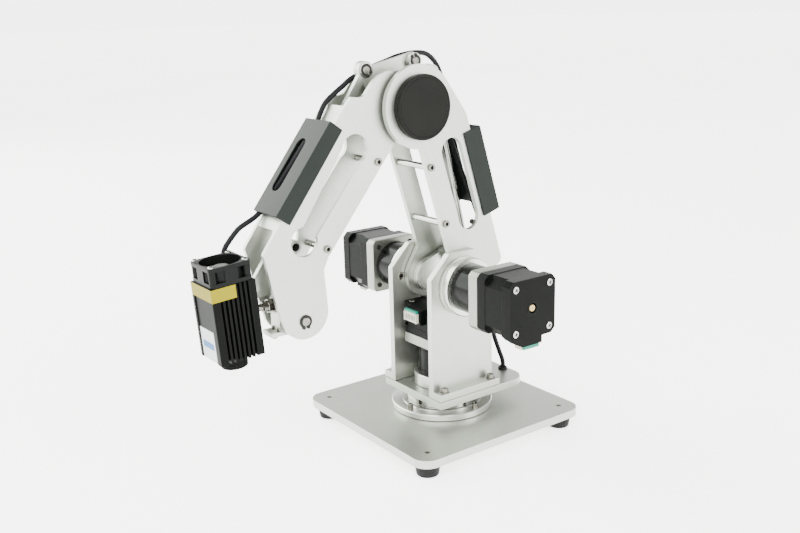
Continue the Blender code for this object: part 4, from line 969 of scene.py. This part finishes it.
def smooth_route(points, per_span=6):
    """Catmull-Rom samples through the points."""
    points = [Vector(point) for point in points]
    ends = [points[0] * 2.0 - points[1]] + points + [points[-1] * 2.0 - points[-2]]
    samples = []
    for i in range(1, len(ends) - 2):
        a, b, c, d = ends[i - 1:i + 3]
        for step in range(per_span):
            t = step / per_span
            bend = (2.0 * a - 5.0 * b + 4.0 * c - d) * t * t + (3.0 * b - a - 3.0 * c + d) * t * t * t
            samples.append(0.5 * (2.0 * b + (c - a) * t + bend))
    samples.append(points[-1])
    return samples


def lead_piece(name, route, body, radius=1.8, sides=16):
    """Round stretch of the lead along a route of world points, which rides on a body if one is given."""
    shape = bmesh.new()
    rings = []
    normal = None
    for i, point in enumerate(route):
        ahead = (route[min(i + 1, len(route) - 1)] - route[max(i - 1, 0)]).normalized()
        if normal is None:
            normal = ahead.orthogonal().normalized()
        normal = (normal - ahead * normal.dot(ahead)).normalized()
        across = ahead.cross(normal)
        ring = []
        for k in range(sides):
            angle = TURN * k / sides
            spoke = normal * math.cos(angle) + across * math.sin(angle)
            ring.append(shape.verts.new(point + spoke * radius))
        rings.append(ring)
    for low, high in zip(rings, rings[1:]):
        for k in range(sides):
            m = (k + 1) % sides
            shape.faces.new((low[k], low[m], high[m], high[k]))
    shape.faces.new(rings[0][::-1])
    shape.faces.new(rings[-1])
    return piece(name, shape, body, "sleeve", angle=60.0)


def fore(along, up, y):
    """World point of a forearm point."""
    return tuple(FORE @ Vector((along, y, up)))


def arm(forward, along, y):
    """World point of a lower-arm point."""
    return tuple(ARM @ Vector((forward, y, along)))


TOOL_RUN = [
    (169.4, -17.4, 135.0), (169.2, -17.4, 146.0), (167.4, -17.3, 154.0), (164.6, -16.5, 158.6),
    (161.4, -15.2, 163.0), (157.6, -14.0, 167.2), fore(130.2, 50.2, -13.2), fore(125.0, 47.7, -13.0),
    fore(120.6, 46.3, -12.7), fore(116.0, 46.1, -12.4),
]
FORE_RUN = [
    fore(115.6, 46.1, -12.4), fore(92.0, 46.8, -8.6), fore(68.0, 47.6, -6.0), fore(48.6, 48.3, -5.0),
    fore(41.0, 48.9, -6.4), fore(33.0, 49.0, -7.6), fore(25.0, 46.8, -8.4), (75.4, -9.0, 254.4),
    (68.0, -9.1, 259.2), (58.5, -9.1, 263.2), (48.0, -9.1, 267.0), (38.0, -9.1, 269.8), (28.0, -9.1, 272.6),
    (14.0, -9.3, 274.3), (0.0, -11.4, 272.6), (-11.0, -13.4, 263.8), (-16.6, -13.4, 249.0),
    (-17.8, -13.2, 234.0), arm(-49.6, 104.0, -12.0), arm(-49.6, 96.0, -12.0),
]
ARM_RUN = [arm(-49.6, 95.8, -12.0), arm(-49.6, 70.0, -8.0), arm(-49.6, 45.8, -4.0)]
REAR_RUN = [
    arm(-49.6, 45.8, -4.0), arm(-49.6, 36.0, -2.0), (-43.0, 2.0, 132.0), (-41.6, 6.0, 104.0),
    (-41.0, 9.6, 76.0), (-43.4, 12.0, 56.0), (-49.0, 12.0, 41.0), (-53.2, 12.0, 30.0), (-53.2, 12.0, 19.0),
]
# points of FORE_RUN where the lead leaves the forearm and where it passes the levelling triangle
FORE_END, TRIANGLE_POINT = 6, 12


def dress_lead():
    """Laser lead in stretches; some ride on one body and the rest on none."""
    run = smooth_route(TOOL_RUN)
    tool_lead = lead_piece("lead_to_fan", run, None)
    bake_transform(tool_lead)
    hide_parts("lead_tool_loop")
    run = smooth_route(FORE_RUN)
    span = len(run) // (len(FORE_RUN) - 1)
    first, second = FORE_END * span, TRIANGLE_POINT * span
    along = lead_piece("lead_on_forearm", run[:first + 1], "forearm")
    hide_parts("lead_forearm")
    over = lead_piece("lead_over_elbow", run[first:second + 1], None)
    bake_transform(over)
    down = lead_piece("lead_behind_elbow", run[second:], None)
    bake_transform(down)
    inside = lead_piece("lead_in_lower_arm", smooth_route(ARM_RUN), "lower_arm")
    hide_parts("lead_lower_arm")
    run = smooth_route(REAR_RUN)
    drop = lead_piece("lead_to_gland", run, None)
    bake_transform(drop)
    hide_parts("lead_rear_drop")


make_camera()
make_stage()
dress_frame()
dress_base()
dress_turret()
dress_motor("shoulder", LEFT_MOTOR, SIDE_MOTOR_LENGTHS, SIDE_RING_RADIUS, "turned")
dress_motor("elbow", RIGHT_MOTOR, SIDE_MOTOR_LENGTHS, SIDE_RING_RADIUS, "turned")
dress_motor("yaw", YAW_MOTOR, YAW_MOTOR_LENGTHS, YAW_RING_RADIUS, "turned_base")
dress_elbow()
dress_arms()
dress_tool()
dress_lead()
